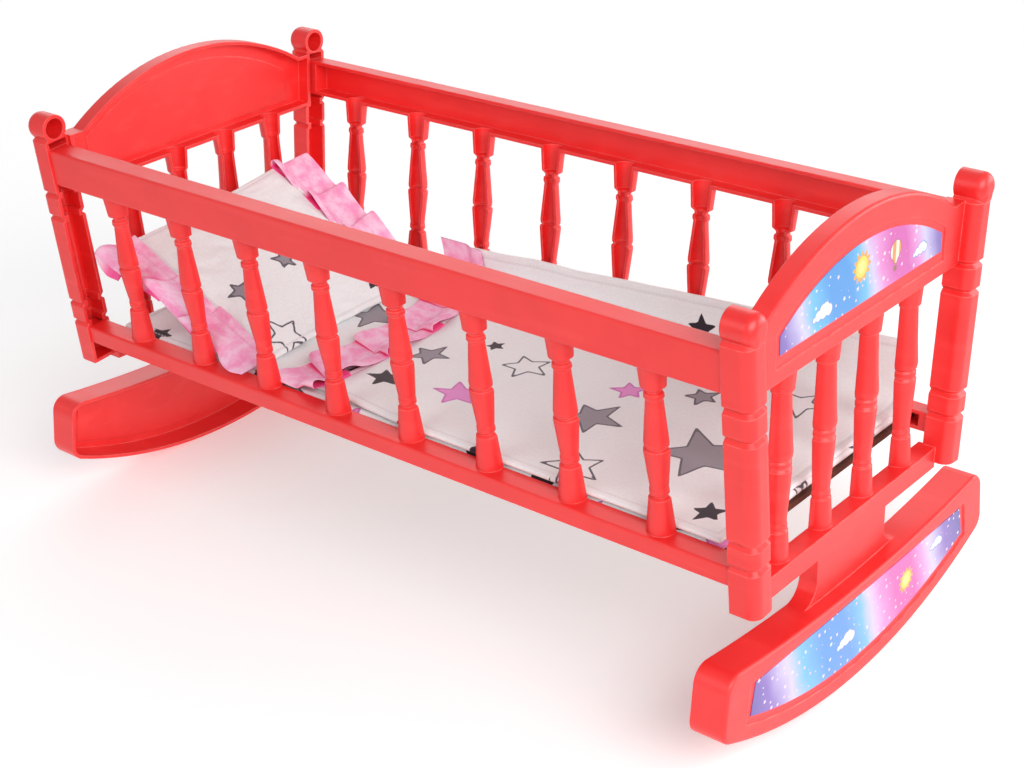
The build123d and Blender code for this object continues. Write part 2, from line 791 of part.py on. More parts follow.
def pleat_points(start, length, bottom, count):
    """Outline of a strip of box pleats, seen along its folds: flat below, raised plates above."""
    pitch_length = length / count
    tops = [RUFFLE_THICKNESS, RUFFLE_THICKNESS + RUFFLE_PLEAT_RISE, RUFFLE_THICKNESS + RUFFLE_PLEAT_RISE]
    points = [(start, bottom)]
    for index in range(count):
        for share, top in zip(RUFFLE_PLEAT_SHARES, tops):
            points.append((start + (index + share) * pitch_length, bottom + top))
    points.append((start + length, bottom + RUFFLE_THICKNESS))
    points.append((start + length, bottom))
    return points


def seam_foot_end(side):
    """Foot end of the seam along one side of the pillow, on its underside."""
    return (
        pillow_centre
        + pillow_along * (PILLOW_LENGTH / 2)
        + pillow_across * (side * PILLOW_WIDTH / 2)
        - pillow_up * (PILLOW_SEAM / 2)
    )


def free_edge(side, width, flare, relief):
    """Foot end and direction of a ruffle's free edge."""
    edge_pitch = pitch - math.radians(relief)
    level = Vector(math.cos(turn), math.sin(turn), 0)
    foot = seam_foot_end(side) + pillow_across * (side * width) + level * (flare / 2)
    return foot, level * math.cos(edge_pitch) - Vector(0, 0, 1) * math.sin(edge_pitch)


def room_in_front():
    """Width that the front ruffle has between the pillow's seam and the front side moulding."""
    foot, along = free_edge(-1, 0, FRONT_RUFFLE_FLARE, FRONT_RUFFLE_RELIEF)
    head = foot - along * (PILLOW_LENGTH + FRONT_RUFFLE_FLARE)
    room = min(bed_half_width(end.Z) + end.Y for end in (foot, head))
    return room / math.cos(turn) - BED_SIDE_CLEARANCE


def pillow_ruffle(side, width, flare, relief, count):
    """A ribbon sewn along one side of the pillow, lofted from its seam to its free edge.

    The free edge is longer than the seam by flare and less steep than it by relief.
    """
    seam_foot = seam_foot_end(side)
    free_foot, free_along = free_edge(side, width, flare, relief)
    with BuildPart() as strip:
        with BuildSketch(Plane(origin=seam_foot, x_dir=pillow_along, z_dir=-pillow_across)):
            with BuildLine():
                Polyline(*pleat_points(-PILLOW_LENGTH, PILLOW_LENGTH, 0, count), close=True)
            make_face()
        with BuildSketch(Plane(origin=free_foot, x_dir=free_along, z_dir=-pillow_across)):
            with BuildLine():
                Polyline(
                    *pleat_points(-PILLOW_LENGTH - flare, PILLOW_LENGTH + flare, 0, count),
                    close=True,
                )
            make_face()
        loft(ruled=True)
    return strip.part


with BuildPart() as pillow_front_ruffle:
    add(
        pillow_ruffle(
            -1, room_in_front(), FRONT_RUFFLE_FLARE, FRONT_RUFFLE_RELIEF, FRONT_RUFFLE_PLEATS
        )
    )
pillow_front_ruffle.part.label = "pillow_front_ruffle"
export_step(pillow_front_ruffle.part, "parts/pillow_front_ruffle.step")

with BuildPart() as pillow_rear_ruffle:
    add(pillow_ruffle(1, REAR_RUFFLE_WIDTH, REAR_RUFFLE_FLARE, REAR_RUFFLE_RELIEF, REAR_RUFFLE_PLEATS))
pillow_rear_ruffle.part.label = "pillow_rear_ruffle"
export_step(pillow_rear_ruffle.part, "parts/pillow_rear_ruffle.step")

# Blanket: flat over the mattress, its rear margin standing up along the rear spindles

blanket_front = -bed_half_width(bedding_bottom) + BED_SIDE_CLEARANCE
blanket_rear = bed_half_width(bedding_bottom) - BED_SIDE_CLEARANCE
blanket_head_x = pillow_x + pillow_reach + BLANKET_PILLOW_GAP + BLANKET_RUFFLE_WIDTH


def blanket_path(rise):
    """Points of the blanket's underside: front edge, start, middle and end of the turn, top."""
    up = Vector(lean_sin, lean_cos)
    top = Vector(blanket_rear + rise * lean_tan, bedding_bottom + rise)
    sweep = math.pi / 2 - lean
    turn_end_height = BLANKET_TURN_RADIUS * (1 - math.cos(sweep))
    end = top - up * ((rise - turn_end_height) / lean_cos)
    centre = Vector(end.X - BLANKET_TURN_RADIUS * math.sin(sweep), bedding_bottom + BLANKET_TURN_RADIUS)
    return centre, sweep, end, top


def blanket_outline(rise):
    """Closed line of the blanket's section across the bed."""
    centre, sweep, end, top = blanket_path(rise)
    inner_radius = BLANKET_TURN_RADIUS - BLANKET_THICKNESS
    inward = Vector(-lean_cos, lean_sin) * BLANKET_THICKNESS

    def on_turn(radius, share):
        angle = sweep * share
        return Vector(centre.X + radius * math.sin(angle), centre.Y - radius * math.cos(angle))

    ThreePointArc(
        on_turn(BLANKET_TURN_RADIUS, 0), on_turn(BLANKET_TURN_RADIUS, 1 / 2), on_turn(BLANKET_TURN_RADIUS, 1)
    )
    Polyline(on_turn(BLANKET_TURN_RADIUS, 1), top, top + inward, on_turn(inner_radius, 1))
    ThreePointArc(on_turn(inner_radius, 1), on_turn(inner_radius, 1 / 2), on_turn(inner_radius, 0))
    Polyline(
        on_turn(inner_radius, 0),
        (blanket_front, bedding_bottom + BLANKET_THICKNESS),
        (blanket_front, bedding_bottom),
        on_turn(BLANKET_TURN_RADIUS, 0),
    )


skew = math.radians(BLANKET_HEAD_SKEW)


def skewed_across(x):
    """Upright plane across the bed, turned like the blanket's head edge."""
    return Plane(
        origin=(x, 0, 0),
        x_dir=(-math.sin(skew), math.cos(skew), 0),
        z_dir=(math.cos(skew), math.sin(skew), 0),
    )


blanket_foot_x = panel_x - BLANKET_FOOT_GAP

with BuildPart() as blanket:
    with BuildSketch(skewed_across(blanket_head_x)):
        with BuildLine():
            blanket_outline(BLANKET_HEAD_RISE)
        make_face()
    with BuildSketch(Plane.YZ.offset(blanket_foot_x)):
        with BuildLine():
            blanket_outline(BLANKET_FOOT_RISE)
        make_face()
    loft(ruled=True)
blanket.part.label = "blanket"
export_step(blanket.part, "parts/blanket.step")

# Pleated ruffle along the blanket's head edge


def ruffle_section(count):
    """Outline of the pleated ribbon where it follows the blanket's section."""
    centre, sweep, end, top = blanket_path(BLANKET_HEAD_RISE)
    flat = centre.X - blanket_front
    turned = BLANKET_TURN_RADIUS * sweep
    standing = (top - end).length
    total = flat + turned + standing

    def at(run, height):
        if run < flat:
            return (blanket_front + run, bedding_bottom + height)
        if run < flat + turned:
            angle = (run - flat) / BLANKET_TURN_RADIUS
            radius = BLANKET_TURN_RADIUS - height
            return (centre.X + radius * math.sin(angle), centre.Y - radius * math.cos(angle))
        beyond = run - flat - turned
        foot = end + (top - end).normalized() * beyond
        return (foot.X - height * lean_cos, foot.Y + height * lean_sin)

    runs = []
    for index in range(count):
        for share, rise in zip(RUFFLE_PLEAT_SHARES, (0, RUFFLE_PLEAT_RISE, RUFFLE_PLEAT_RISE)):
            runs.append(((index + share) * total / count, RUFFLE_THICKNESS + rise))
    runs.append((total, RUFFLE_THICKNESS))
    above = [at(run, height) for run, height in runs]
    below = [at(run, 0) for run, height in reversed(runs)]
    return above + below


with BuildPart() as blanket_ruffle:
    for width in (0, BLANKET_RUFFLE_WIDTH):
        with BuildSketch(skewed_across(blanket_head_x - width)):
            with BuildLine():
                Polyline(*ruffle_section(BLANKET_RUFFLE_PLEATS), close=True)
            make_face()
    loft(ruled=True)
blanket_ruffle.part.label = "blanket_ruffle"
export_step(blanket_ruffle.part, "parts/blanket_ruffle.step")
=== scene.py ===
import math

import bpy
import numpy as np
from mathutils import Matrix, Vector


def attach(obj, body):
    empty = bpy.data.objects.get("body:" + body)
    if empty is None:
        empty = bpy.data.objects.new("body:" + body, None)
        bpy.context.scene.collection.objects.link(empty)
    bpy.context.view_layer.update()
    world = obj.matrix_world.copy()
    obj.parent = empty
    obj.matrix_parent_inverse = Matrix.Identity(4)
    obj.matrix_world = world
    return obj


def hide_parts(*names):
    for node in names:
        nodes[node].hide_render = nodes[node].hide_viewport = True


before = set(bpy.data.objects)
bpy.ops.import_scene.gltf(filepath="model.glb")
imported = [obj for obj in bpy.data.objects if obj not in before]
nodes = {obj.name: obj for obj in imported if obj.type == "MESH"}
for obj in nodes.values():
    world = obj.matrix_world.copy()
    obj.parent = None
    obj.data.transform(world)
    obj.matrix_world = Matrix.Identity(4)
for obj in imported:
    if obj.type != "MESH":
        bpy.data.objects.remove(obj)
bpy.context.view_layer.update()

MM = 0.001

# Sizes in millimetres and angles in radians that the bedding shares with the CAD solids
PANEL_X = 197.5
HALF_WIDTH_AT_FLOOR = 80.6
LEAN = math.radians(5.08)
RAIL_REACH = 11.5
BED_SIDE_CLEARANCE = 0.5
MATTRESS_TOP = 93.98
MATTRESS_BOTTOM = 88.98
MATTRESS_HALF_LENGTH = 188.0
MATTRESS_HALF_WIDTH = 76.4
BEDDING_BOTTOM = 94.28

PILLOW_LENGTH = 102.4
PILLOW_WIDTH = 102.0
PILLOW_THICKNESS = 9.0
PILLOW_SEAM = 2.4
PITCH = math.radians(27.6)
TURN = math.radians(2.9)
PILLOW_HEAD_GAP = 13.9
PILLOW_SHIFT = -14.5
PILLOW_TWIST = 5.0
REAR_RUFFLE_WIDTH = 26.5
FRONT_RUFFLE_WIDTH = 20.0

BLANKET_THICKNESS = 2.4
BLANKET_FOOT_X = 188.5
TURN_RADIUS = 12.0
HEAD_RISE = 18.0
FOOT_RISE = 33.0
BLANKET_RUFFLE_WIDTH = 31.0


def bed_half_width(height):
    """Half width between the inner rims of the two sides."""
    return HALF_WIDTH_AT_FLOOR + height * math.tan(LEAN) - RAIL_REACH / math.cos(LEAN)


# Camera, solved from the photo: angles in radians, distances in millimetres

AZIMUTH = 0.705207647
ELEVATION = 0.458796155
ROLL = -0.035618615
DISTANCE = 948.156
TARGET = Vector((2.084, 14.808, 76.898))
LENS = 66.355

back = Vector(
    (
        math.sin(AZIMUTH) * math.cos(ELEVATION),
        -math.cos(AZIMUTH) * math.cos(ELEVATION),
        math.sin(ELEVATION),
    )
)
right = Vector((math.cos(AZIMUTH), math.sin(AZIMUTH), 0))
up = back.cross(right)
rolled_right = math.cos(ROLL) * right + math.sin(ROLL) * up
rolled_up = -math.sin(ROLL) * right + math.cos(ROLL) * up
camera = bpy.data.objects.new("camera", bpy.data.cameras.new("camera"))
bpy.context.scene.collection.objects.link(camera)
turned = Matrix((rolled_right, rolled_up, back)).transposed().to_4x4()
camera.matrix_world = Matrix.Translation((TARGET + back * DISTANCE) * MM) @ turned
camera.data.lens = LENS
camera.data.sensor_width = 36.0
camera.data.sensor_fit = "HORIZONTAL"
camera.data.clip_start = 0.01
camera.data.clip_end = 20.0
bpy.context.scene.camera = camera


class Shader:
    """Builds one material's nodes round a Principled shader."""

    def __init__(self, name):
        self.material = bpy.data.materials.new(name)
        self.material.use_nodes = True
        self.tree = self.material.node_tree
        self.tree.nodes.clear()
        self.bsdf = self.node("BsdfPrincipled")
        out = self.node("OutputMaterial")
        self.tree.links.new(self.bsdf.outputs[0], out.inputs["Surface"])
        self.out = out

    def put(self, socket, value):
        if isinstance(value, bpy.types.NodeSocket):
            self.tree.links.new(value, socket)
        else:
            socket.default_value = value

    def node(self, kind, inputs=None, **settings):
        made = self.tree.nodes.new("ShaderNode" + kind)
        for key, value in settings.items():
            setattr(made, key, value)
        for key, value in (inputs or {}).items():
            self.put(made.inputs[key], value)
        return made

    def attribute(self, name, output="Fac"):
        return self.node("Attribute", attribute_name=name).outputs[output]

    def math(self, operation, a, b=0.0):
        return self.node("Math", {0: a, 1: b}, operation=operation).outputs[0]

    def plus(self, a, b):
        return self.math("ADD", a, b)

    def minus(self, a, b):
        return self.math("SUBTRACT", a, b)

    def times(self, a, b):
        return self.math("MULTIPLY", a, b)

    def vector(self, operation, a, b=(0, 0, 0)):
        return self.node("VectorMath", {0: a, 1: b}, operation=operation)

    def scaled(self, vector, factor):
        made = self.node("VectorMath", {0: vector, "Scale": factor}, operation="SCALE")
        return made.outputs[0]

    def split(self, vector):
        return self.node("SeparateXYZ", {0: vector}).outputs

    def span(self, value, low, high, start=0.0, end=1.0, smooth=True):
        made = self.node(
            "MapRange",
            {"Value": value, "From Min": low, "From Max": high, "To Min": start, "To Max": end},
            interpolation_type="SMOOTHSTEP" if smooth else "LINEAR",
        )
        return made.outputs[0]

    def mix(self, factor, a, b, blend="MIX"):
        made = self.node("Mix", data_type="RGBA", blend_type=blend)
        self.put(made.inputs[0], factor)
        self.put(made.inputs[6], a)
        self.put(made.inputs[7], b)
        return made.outputs[2]

    def noise(self, vector, scale, detail=2.0, roughness=0.5, distortion=0.0):
        made = self.node(
            "TexNoise",
            {
                "Vector": vector,
                "Scale": scale,
                "Detail": detail,
                "Roughness": roughness,
                "Distortion": distortion,
            },
        )
        return made.outputs[0]

    def bump(self, height, strength, distance, normal=None):
        inputs = {"Height": height, "Strength": strength, "Distance": distance}
        if normal is not None:
            inputs["Normal"] = normal
        return self.node("Bump", inputs).outputs[0]

    def set(self, **sockets):
        for key, value in sockets.items():
            self.put(self.bsdf.inputs[key.replace("_", " ")], value)


def rgb(red, green, blue):
    """An sRGB colour from 0 to 255 as a linear RGBA tuple."""

    def linear(value):
        share = value / 255
        return share / 12.92 if share <= 0.04045 else ((share + 0.055) / 1.055) ** 2.4

    return (linear(red), linear(green), linear(blue), 1.0)


def red_plastic():
    """Satin coral-red moulded plastic with soft edges, faint flow marks, and arrises paled by wear
    and a painted highlight.
    """
    s = Shader("red_plastic")
    place = s.node("TexCoord").outputs["Object"]
    soft = s.node("Bevel", {"Radius": 0.0007}, samples=4).outputs[0]
    flat = s.node("NewGeometry").outputs["Normal"]
    facing = s.vector("DOT_PRODUCT", soft, flat).outputs["Value"]
    edge = s.span(facing, 0.995, 0.93, 0.0, 1.0)
    cloudy = s.noise(place, 28.0, 3.0, 0.55, 0.4)
    stretched = s.node("Mapping", {"Vector": place, "Scale": (14.0, 60.0, 150.0)}).outputs[0]
    flow = s.noise(stretched, 1.0, 2.0, 0.5)
    colour = s.mix(s.span(cloudy, 0.3, 0.7), rgb(237, 38, 38), rgb(244, 48, 47))
    colour = s.mix(s.times(s.span(flow, 0.52, 0.72), 0.35), colour, rgb(250, 66, 63))
    # Paler arrises: partly rubbed wear, partly a painted highlight along the edges
    rub_and_highlight = s.times(edge, s.span(s.noise(place, 160.0, 3.0), 0.35, 0.62, 0.25, 0.75))
    colour = s.mix(rub_and_highlight, colour, rgb(255, 126, 120))
    grain = s.noise(place, 1500.0, 2.0, 0.6)
    orange_peel = s.noise(place, 240.0, 2.0, 0.5)
    sink = s.noise(place, 45.0, 1.0, 0.4)
    normal = s.bump(sink, 0.35, 0.0005, soft)
    normal = s.bump(orange_peel, 0.22, 0.00012, normal)
    normal = s.bump(grain, 0.12, 0.00004, normal)
    rough = s.plus(s.span(cloudy, 0.25, 0.75, 0.32, 0.42), s.times(grain, 0.06))
    s.set(Base_Color=colour, Roughness=rough, Normal=normal)
    s.set(IOR=1.49, Specular_IOR_Level=0.62, Subsurface_Weight=0.12, Subsurface_Scale=0.002)
    s.set(Subsurface_Radius=(1.0, 0.22, 0.18))
    return s.material


def brown_board():
    """Dark hardboard: fine fibres that run along it, and soft blotches."""
    s = Shader("brown_board")
    place = s.node("TexCoord").outputs["Object"]
    drawn = s.node("Mapping", {"Vector": place, "Scale": (300.0, 900.0, 900.0)}).outputs[0]
    fibre = s.noise(drawn, 1.0, 4.0, 0.65, 0.6)
    blotch = s.noise(place, 40.0, 3.0, 0.6)
    colour = s.mix(s.span(fibre, 0.35, 0.68), rgb(74, 43, 33), rgb(112, 68, 48))
    colour = s.mix(s.times(s.span(blotch, 0.4, 0.7), 0.4), colour, rgb(88, 50, 38))
    normal = s.bump(fibre, 0.4, 0.0001)
    s.set(Base_Color=colour, Roughness=s.span(fibre, 0.3, 0.7, 0.55, 0.78), Normal=normal, IOR=1.45)
    return s.material


# Cloth materials


def weave(s, flat, thread):
    """Height of a plain weave with threads that far apart, in millimetres of cloth."""
    place = s.split(s.scaled(flat, math.pi / thread))
    return s.times(s.math("SINE", place[0]), s.math("SINE", place[1]))


def ink(s, distance, softness=0.16):
    """How much of a print shows, from the signed distance to its outline in millimetres."""
    return s.span(distance, softness, -softness)


def stitches(s, run, pitch, gap, thread, furrow):
    """A row of stitches along the hem, and the dimple on both sides of it; callers also darken the
    colour there as painted shade.
    """
    hem = s.math("ABSOLUTE", s.attribute("hem"))
    dash = s.span(s.math("SINE", s.times(run, 2 * math.pi / pitch)), gap, 0.1)
    return s.times(s.span(hem, *thread), dash), s.span(hem, furrow, 0.2)


def star_fabric():
    """White cotton with stars in black, grey and pink, and outlined ones."""
    s = Shader("star_fabric")
    flat = s.attribute("flat", "Vector")
    inks = s.split(s.attribute("ink", "Vector"))
    threads = weave(s, flat, 0.42)
    slub = s.noise(flat, 0.6, 3.0, 0.6)
    ragged = s.times(s.minus(s.noise(flat, 2.4, 2.0), 0.5), 0.28)
    black, grey, pink = (s.plus(inks[i], ragged) for i in range(3))
    ring = s.plus(s.attribute("ring"), ragged)
    speckle = s.span(s.noise(flat, 4.5, 2.0, 0.7), 0.42, 0.66)
    colour = s.mix(s.span(slub, 0.3, 0.7), rgb(243, 247, 248), rgb(249, 253, 253))
    grey_ink = s.mix(s.times(speckle, 0.55), rgb(146, 142, 150), rgb(178, 174, 182))
    colour = s.mix(ink(s, grey), colour, grey_ink)
    colour = s.mix(ink(s, pink), colour, s.mix(speckle, rgb(234, 146, 214), rgb(241, 160, 221)))
    outlines = ((grey, rgb(98, 94, 104)), (pink, rgb(214, 122, 194)), (ring, rgb(92, 90, 98)))
    for distance, tint in outlines:
        line = ink(s, s.minus(s.math("ABSOLUTE", distance), 0.5))
        colour = s.mix(line, colour, tint)
    dark = s.mix(s.times(speckle, 0.35), rgb(40, 31, 40), rgb(70, 60, 70))
    colour = s.mix(ink(s, black), colour, dark)
    place = s.split(flat)
    run = s.plus(place[0], place[1])
    stitch, dimple = stitches(s, run, 2.4, -0.35, (0.34, 0.14), 0.9)
    # Painted shade: grey in the dimple on both sides of the stitches
    colour = s.mix(s.times(dimple, 0.22), colour, rgb(186, 180, 188))
    colour = s.mix(s.times(stitch, 0.8), colour, rgb(250, 248, 248))
    normal = s.bump(threads, 0.14, 0.00005)
    normal = s.bump(slub, 0.09, 0.00015, normal)
    normal = s.bump(s.minus(stitch, dimple), 0.6, 0.0002, normal)
    s.set(Base_Color=colour, Roughness=s.span(slub, 0.2, 0.8, 0.78, 0.9), Normal=normal, IOR=1.45)
    s.set(Sheen_Weight=0.25, Sheen_Roughness=0.5, Specular_IOR_Level=0.3)
    return s.material


def pink_ribbon():
    """Pink woven ribbon with a soft sheen, and painted shade that makes it deeper and hotter inside
    its folds.
    """
    s = Shader("pink_ribbon")
    flat = s.attribute("flat", "Vector")
    threads = weave(s, flat, 0.34)
    slub = s.noise(flat, 0.9, 4.0, 0.7)
    mottled = s.noise(flat, 0.13, 4.0, 0.6)
    open_air = s.node("AmbientOcclusion", {"Distance": 0.006}, samples=6).outputs["AO"]
    colour = s.mix(s.span(mottled, 0.34, 0.66), rgb(252, 156, 203), rgb(255, 212, 236))
    colour = s.mix(s.times(s.span(slub, 0.5, 0.75), 0.5), colour, rgb(255, 224, 241))
    # Painted shade: hot pink where ambient occlusion finds the folds closed in
    colour = s.mix(s.span(open_air, 0.78, 0.3), colour, rgb(255, 56, 146))
    # Painted shade: hot pink deep in the pleats, where each plate runs under the next
    colour = s.mix(s.times(s.attribute("deep"), 0.85), colour, rgb(255, 70, 152))
    # Painted highlight: a pale line along the edge of each fold
    colour = s.mix(s.times(s.attribute("painted_fold_highlight"), 0.75), colour, rgb(255, 222, 239))
    stitch, dimple = stitches(s, s.split(flat)[0], 2.0, -0.3, (0.3, 0.12), 0.8)
    # Painted shade: darker pink in the dimple beside the stitches
    colour = s.mix(s.times(dimple, 0.3), colour, rgb(240, 120, 178))
    colour = s.mix(s.times(stitch, 0.7), colour, rgb(255, 208, 230))
    normal = s.bump(threads, 0.25, 0.00006)
    normal = s.bump(slub, 0.3, 0.0002, normal)
    normal = s.bump(s.minus(stitch, dimple), 0.6, 0.0002, normal)
    s.set(Base_Color=colour, Roughness=s.span(slub, 0.2, 0.8, 0.55, 0.7), Normal=normal, IOR=1.45)
    s.set(Sheen_Weight=0.35, Sheen_Roughness=0.4, Specular_IOR_Level=0.35)
    s.set(Sheen_Tint=rgb(255, 210, 232))
    return s.material


# Stickers

STICKER_SHADE = (0.74, 0.74, 0.78, 1)
# Direction across one side of a star, as shares of the cosine and sine of the folded angle
STAR_SIDE = (0.384, 0.923)
# A cloud's smaller discs: (along, up, size), each as a share of its main disc's radius
CLOUD_PUFFS = ((-1.15, -0.25, 0.72), (1.2, -0.2, 0.78), (0.55, 0.35, 0.7), (-2.0, -0.5, 0.4))


def small_stars(s, point, colour):
    """Small five-pointed stars, one to each cell of a loose grid."""
    cells = s.node(
        "TexVoronoi", {"Vector": point, "Scale": 0.19, "Randomness": 0.8}, voronoi_dimensions="2D"
    )
    place = s.split(s.vector("SUBTRACT", point, cells.outputs["Position"]).outputs[0])
    chance = s.node("SeparateColor", {0: cells.outputs["Color"]}).outputs
    radius = s.times(s.span(chance[0], 0.2, 1.0, 0.0, 1.0, False), 1.35)
    angle = s.math("ARCTAN2", place[1], place[0])
    angle = s.plus(angle, s.times(chance[1], 6.0))
    fold = s.math("PINGPONG", angle, math.pi / 5)
    flat_place = s.node("CombineXYZ", {0: place[0], 1: place[1]}).outputs[0]
    reach = s.vector("LENGTH", flat_place).outputs["Value"]
    side = s.times(s.math("COSINE", fold), STAR_SIDE[0])
    side = s.plus(side, s.times(s.math("SINE", fold), STAR_SIDE[1]))
    outline = s.times(reach, side)
    outline = s.minus(outline, s.times(radius, STAR_SIDE[0]))
    tint = s.mix(chance[2], rgb(255, 250, 225), rgb(255, 214, 240))
    return s.mix(s.span(outline, 0.06, -0.06), colour, tint)


def disc(s, point, y, z, size):
    """Signed distance to a circle, below nought inside it."""
    return s.minus(s.vector("DISTANCE", point, (y, z, 0.0)).outputs["Value"], size)


def cloud(s, point, colour, y, z, size):
    """Overlapping white discs with a blue rim."""
    shape = disc(s, point, y, z, size)
    for dy, dz, part in CLOUD_PUFFS:
        puff = disc(s, point, y + dy * size, z + dz * size, part * size)
        shape = s.math("MINIMUM", shape, puff)
    colour = s.mix(s.span(shape, 0.35, 0.1), colour, rgb(120, 150, 215))
    return s.mix(s.span(shape, 0.0, -0.5), colour, rgb(250, 250, 255))


def sun(s, point, colour, y, z, size):
    """A yellow disc with a paler middle, on a ring of orange rays."""
    away = s.split(s.vector("SUBTRACT", point, (y, z, 0.0)).outputs[0])
    ray = s.math("COSINE", s.times(s.math("ARCTAN2", away[1], away[0]), 12.0))
    shape = s.minus(disc(s, point, y, z, size * 1.35), s.times(ray, size * 0.22))
    colour = s.mix(s.span(shape, 0.15, -0.15), colour, rgb(250, 170, 40))
    face = disc(s, point, y, z, size)
    colour = s.mix(s.span(face, 0.12, -0.12), colour, rgb(255, 226, 70))
    middle = disc(s, point, y, z, size * 0.6)
    return s.mix(s.span(middle, 0.5, -0.5), colour, rgb(255, 240, 130))


def balloon(s, point, colour, y, z, size):
    """A striped hot-air balloon: a disc, the cone below it and the basket."""
    away = s.split(s.vector("SUBTRACT", point, (y, z, 0.0)).outputs[0])
    stripe = s.math("SINE", s.times(away[0], 5.2 / size))
    skin = s.mix(s.span(stripe, -0.1, 0.1), rgb(236, 150, 60), rgb(255, 244, 214))
    narrow = s.times(s.math("ABSOLUTE", away[0]), 0.85)
    cone = s.plus(narrow, s.times(away[1], -0.53))
    cone = s.math("MAXIMUM", s.minus(cone, size * 0.86), away[1])
    cone = s.math("MAXIMUM", cone, s.minus(s.times(away[1], -1.0), size * 1.35))
    shape = s.math("MINIMUM", disc(s, point, y, z, size), cone)
    colour = s.mix(s.span(shape, 0.3, 0.1), colour, rgb(130, 74, 40))
    colour = s.mix(s.span(shape, 0.0, -0.15), colour, skin)
    down = s.math("ABSOLUTE", s.plus(away[1], size * 1.85))
    basket = s.minus(s.math("MAXIMUM", s.math("ABSOLUTE", away[0]), down), size * 0.3)
    return s.mix(s.span(basket, 0.1, -0.1), colour, rgb(150, 92, 48))


def sticker(name, bands, suns, clouds, balloons, low, high):
    """Glossy printed sticker: bands of colour along it, small stars, and a few plain motifs."""
    s = Shader(name)
    place = s.split(s.scaled(s.node("TexCoord").outputs["Object"], 1 / MM))
    across, height = place[1], place[2]
    point = s.node("CombineXYZ", {0: across, 1: height, 2: 0.0}).outputs[0]
    tilted = s.plus(across, s.times(height, 0.35))
    soft = s.times(s.minus(s.noise(point, 0.06, 2.0), 0.5), 9.0)
    share = s.span(s.plus(tilted, soft), low, high, smooth=False)
    ramp = s.node("ValToRGB", {0: share})
    steps = ramp.color_ramp.elements
    while len(steps) < len(bands):
        steps.new(0.5)
    for step, (position, tint) in zip(steps, bands):
        step.position = position
        step.color = tint
    colour = small_stars(s, point, ramp.outputs[0])
    for motif, places in ((cloud, clouds), (sun, suns), (balloon, balloons)):
        for y, z, size in places:
            colour = motif(s, point, colour, y, z, size)
    colour = s.mix(1.0, colour, STICKER_SHADE, "MULTIPLY")
    print_dots = s.noise(point, 6.0, 1.0)
    colour = s.mix(s.times(print_dots, 0.08), colour, rgb(255, 255, 255))
    ripple = s.noise(point, 0.09, 2.0)
    normal = s.bump(ripple, 0.25, 0.0004)
    normal = s.bump(s.noise(point, 3.0, 2.0), 0.08, 0.00005, normal)
    s.set(Base_Color=colour, Roughness=s.span(ripple, 0.2, 0.8, 0.16, 0.26), Normal=normal, IOR=1.5)
    s.set(Coat_Weight=0.3, Coat_Roughness=0.1)
    return s.material


INDIGO = rgb(56, 46, 158)
PURPLE = rgb(124, 92, 190)
PALE = rgb(216, 208, 244)
SKY = rgb(30, 148, 226)
CYAN = rgb(90, 192, 240)
MAGENTA = rgb(222, 70, 178)
ROSE = rgb(238, 140, 212)
BANDS = (
    (0.0, INDIGO),
    (0.08, PURPLE),
    (0.17, PALE),
    (0.23, CYAN),
    (0.32, SKY),
    (0.42, SKY),
    (0.49, CYAN),
    (0.53, PALE),
    (0.58, ROSE),
    (0.65, MAGENTA),
    (0.73, MAGENTA),
    (0.78, ROSE),
    (0.83, PALE),
    (0.90, PURPLE),
    (1.0, INDIGO),
)

plastic = red_plastic()
board = brown_board()
cotton = star_fabric()
ribbon = pink_ribbon()
arch_print = sticker(
    "arch_sticker",
    BANDS,
    suns=[(-4.0, 196.5, 4.6)],
    clouds=[(-33.0, 187.5, 3.4), (46.0, 188.0, 2.8)],
    balloons=[(24.0, 194.5, 4.4)],
    low=-8.0,
    high=142.0,
)
rocker_print = sticker(
    "rocker_sticker",
    BANDS,
    suns=[(38.0, 29.5, 4.2)],
    clouds=[(-14.0, 25.5, 3.4), (66.0, 36.0, 2.6)],
    balloons=[],
    low=-82.0,
    high=104.0,
)


def dress(node, material):
    """Gives a CAD node its material."""
    slots = nodes[node].data.materials
    slots.clear()
    slots.append(material)


for name in ("head_end_panel", "foot_end_panel", "front_side_panel", "rear_side_panel"):
    dress(name, plastic)
dress("base_board", board)
for end in ("head", "foot"):
    dress(end + "_arch_sticker", arch_print)
    dress(end + "_rocker_sticker", rocker_print)

# Cloth geometry

LATTICE = 64


def smooth_noise(x, y, scale, seed):
    """Smooth noise from -1 to 1 on a seeded lattice of that spacing."""
    lattice = np.random.default_rng(seed).uniform(-1, 1, (LATTICE, LATTICE))
    u, v = x / scale, y / scale
    iu, iv = np.floor(u).astype(int), np.floor(v).astype(int)
    fu, fv = u - iu, v - iv
    fu, fv = (f * f * f * (f * (f * 6 - 15) + 10) for f in (fu, fv))

    def corner(a, b):
        return lattice[(iu + a) % LATTICE, (iv + b) % LATTICE]

    near = corner(0, 0) * (1 - fu) + corner(1, 0) * fu
    far = corner(0, 1) * (1 - fu) + corner(1, 1) * fu
    return near * (1 - fv) + far * fv


def smooth(value, low, high):
    """0 before low and 1 past high, with a soft step between. Low may be the larger of the two."""
    share = np.clip((value - low) / (high - low), 0, 1)
    return share * share * (3 - 2 * share)


def lines(low, high, step, rim):
    """Places of grid lines from low to high: close together in the rim at both ends."""
    shares = np.array([0.0, 0.07, 0.27, 0.6, 1.0])
    count = max(2, int(round((high - low - 2 * rim) / step)))
    inner = np.linspace(low + rim, high - rim, count + 1)[1:-1]
    return np.concatenate([low + rim * shares, inner, (high - rim * shares)[::-1]])


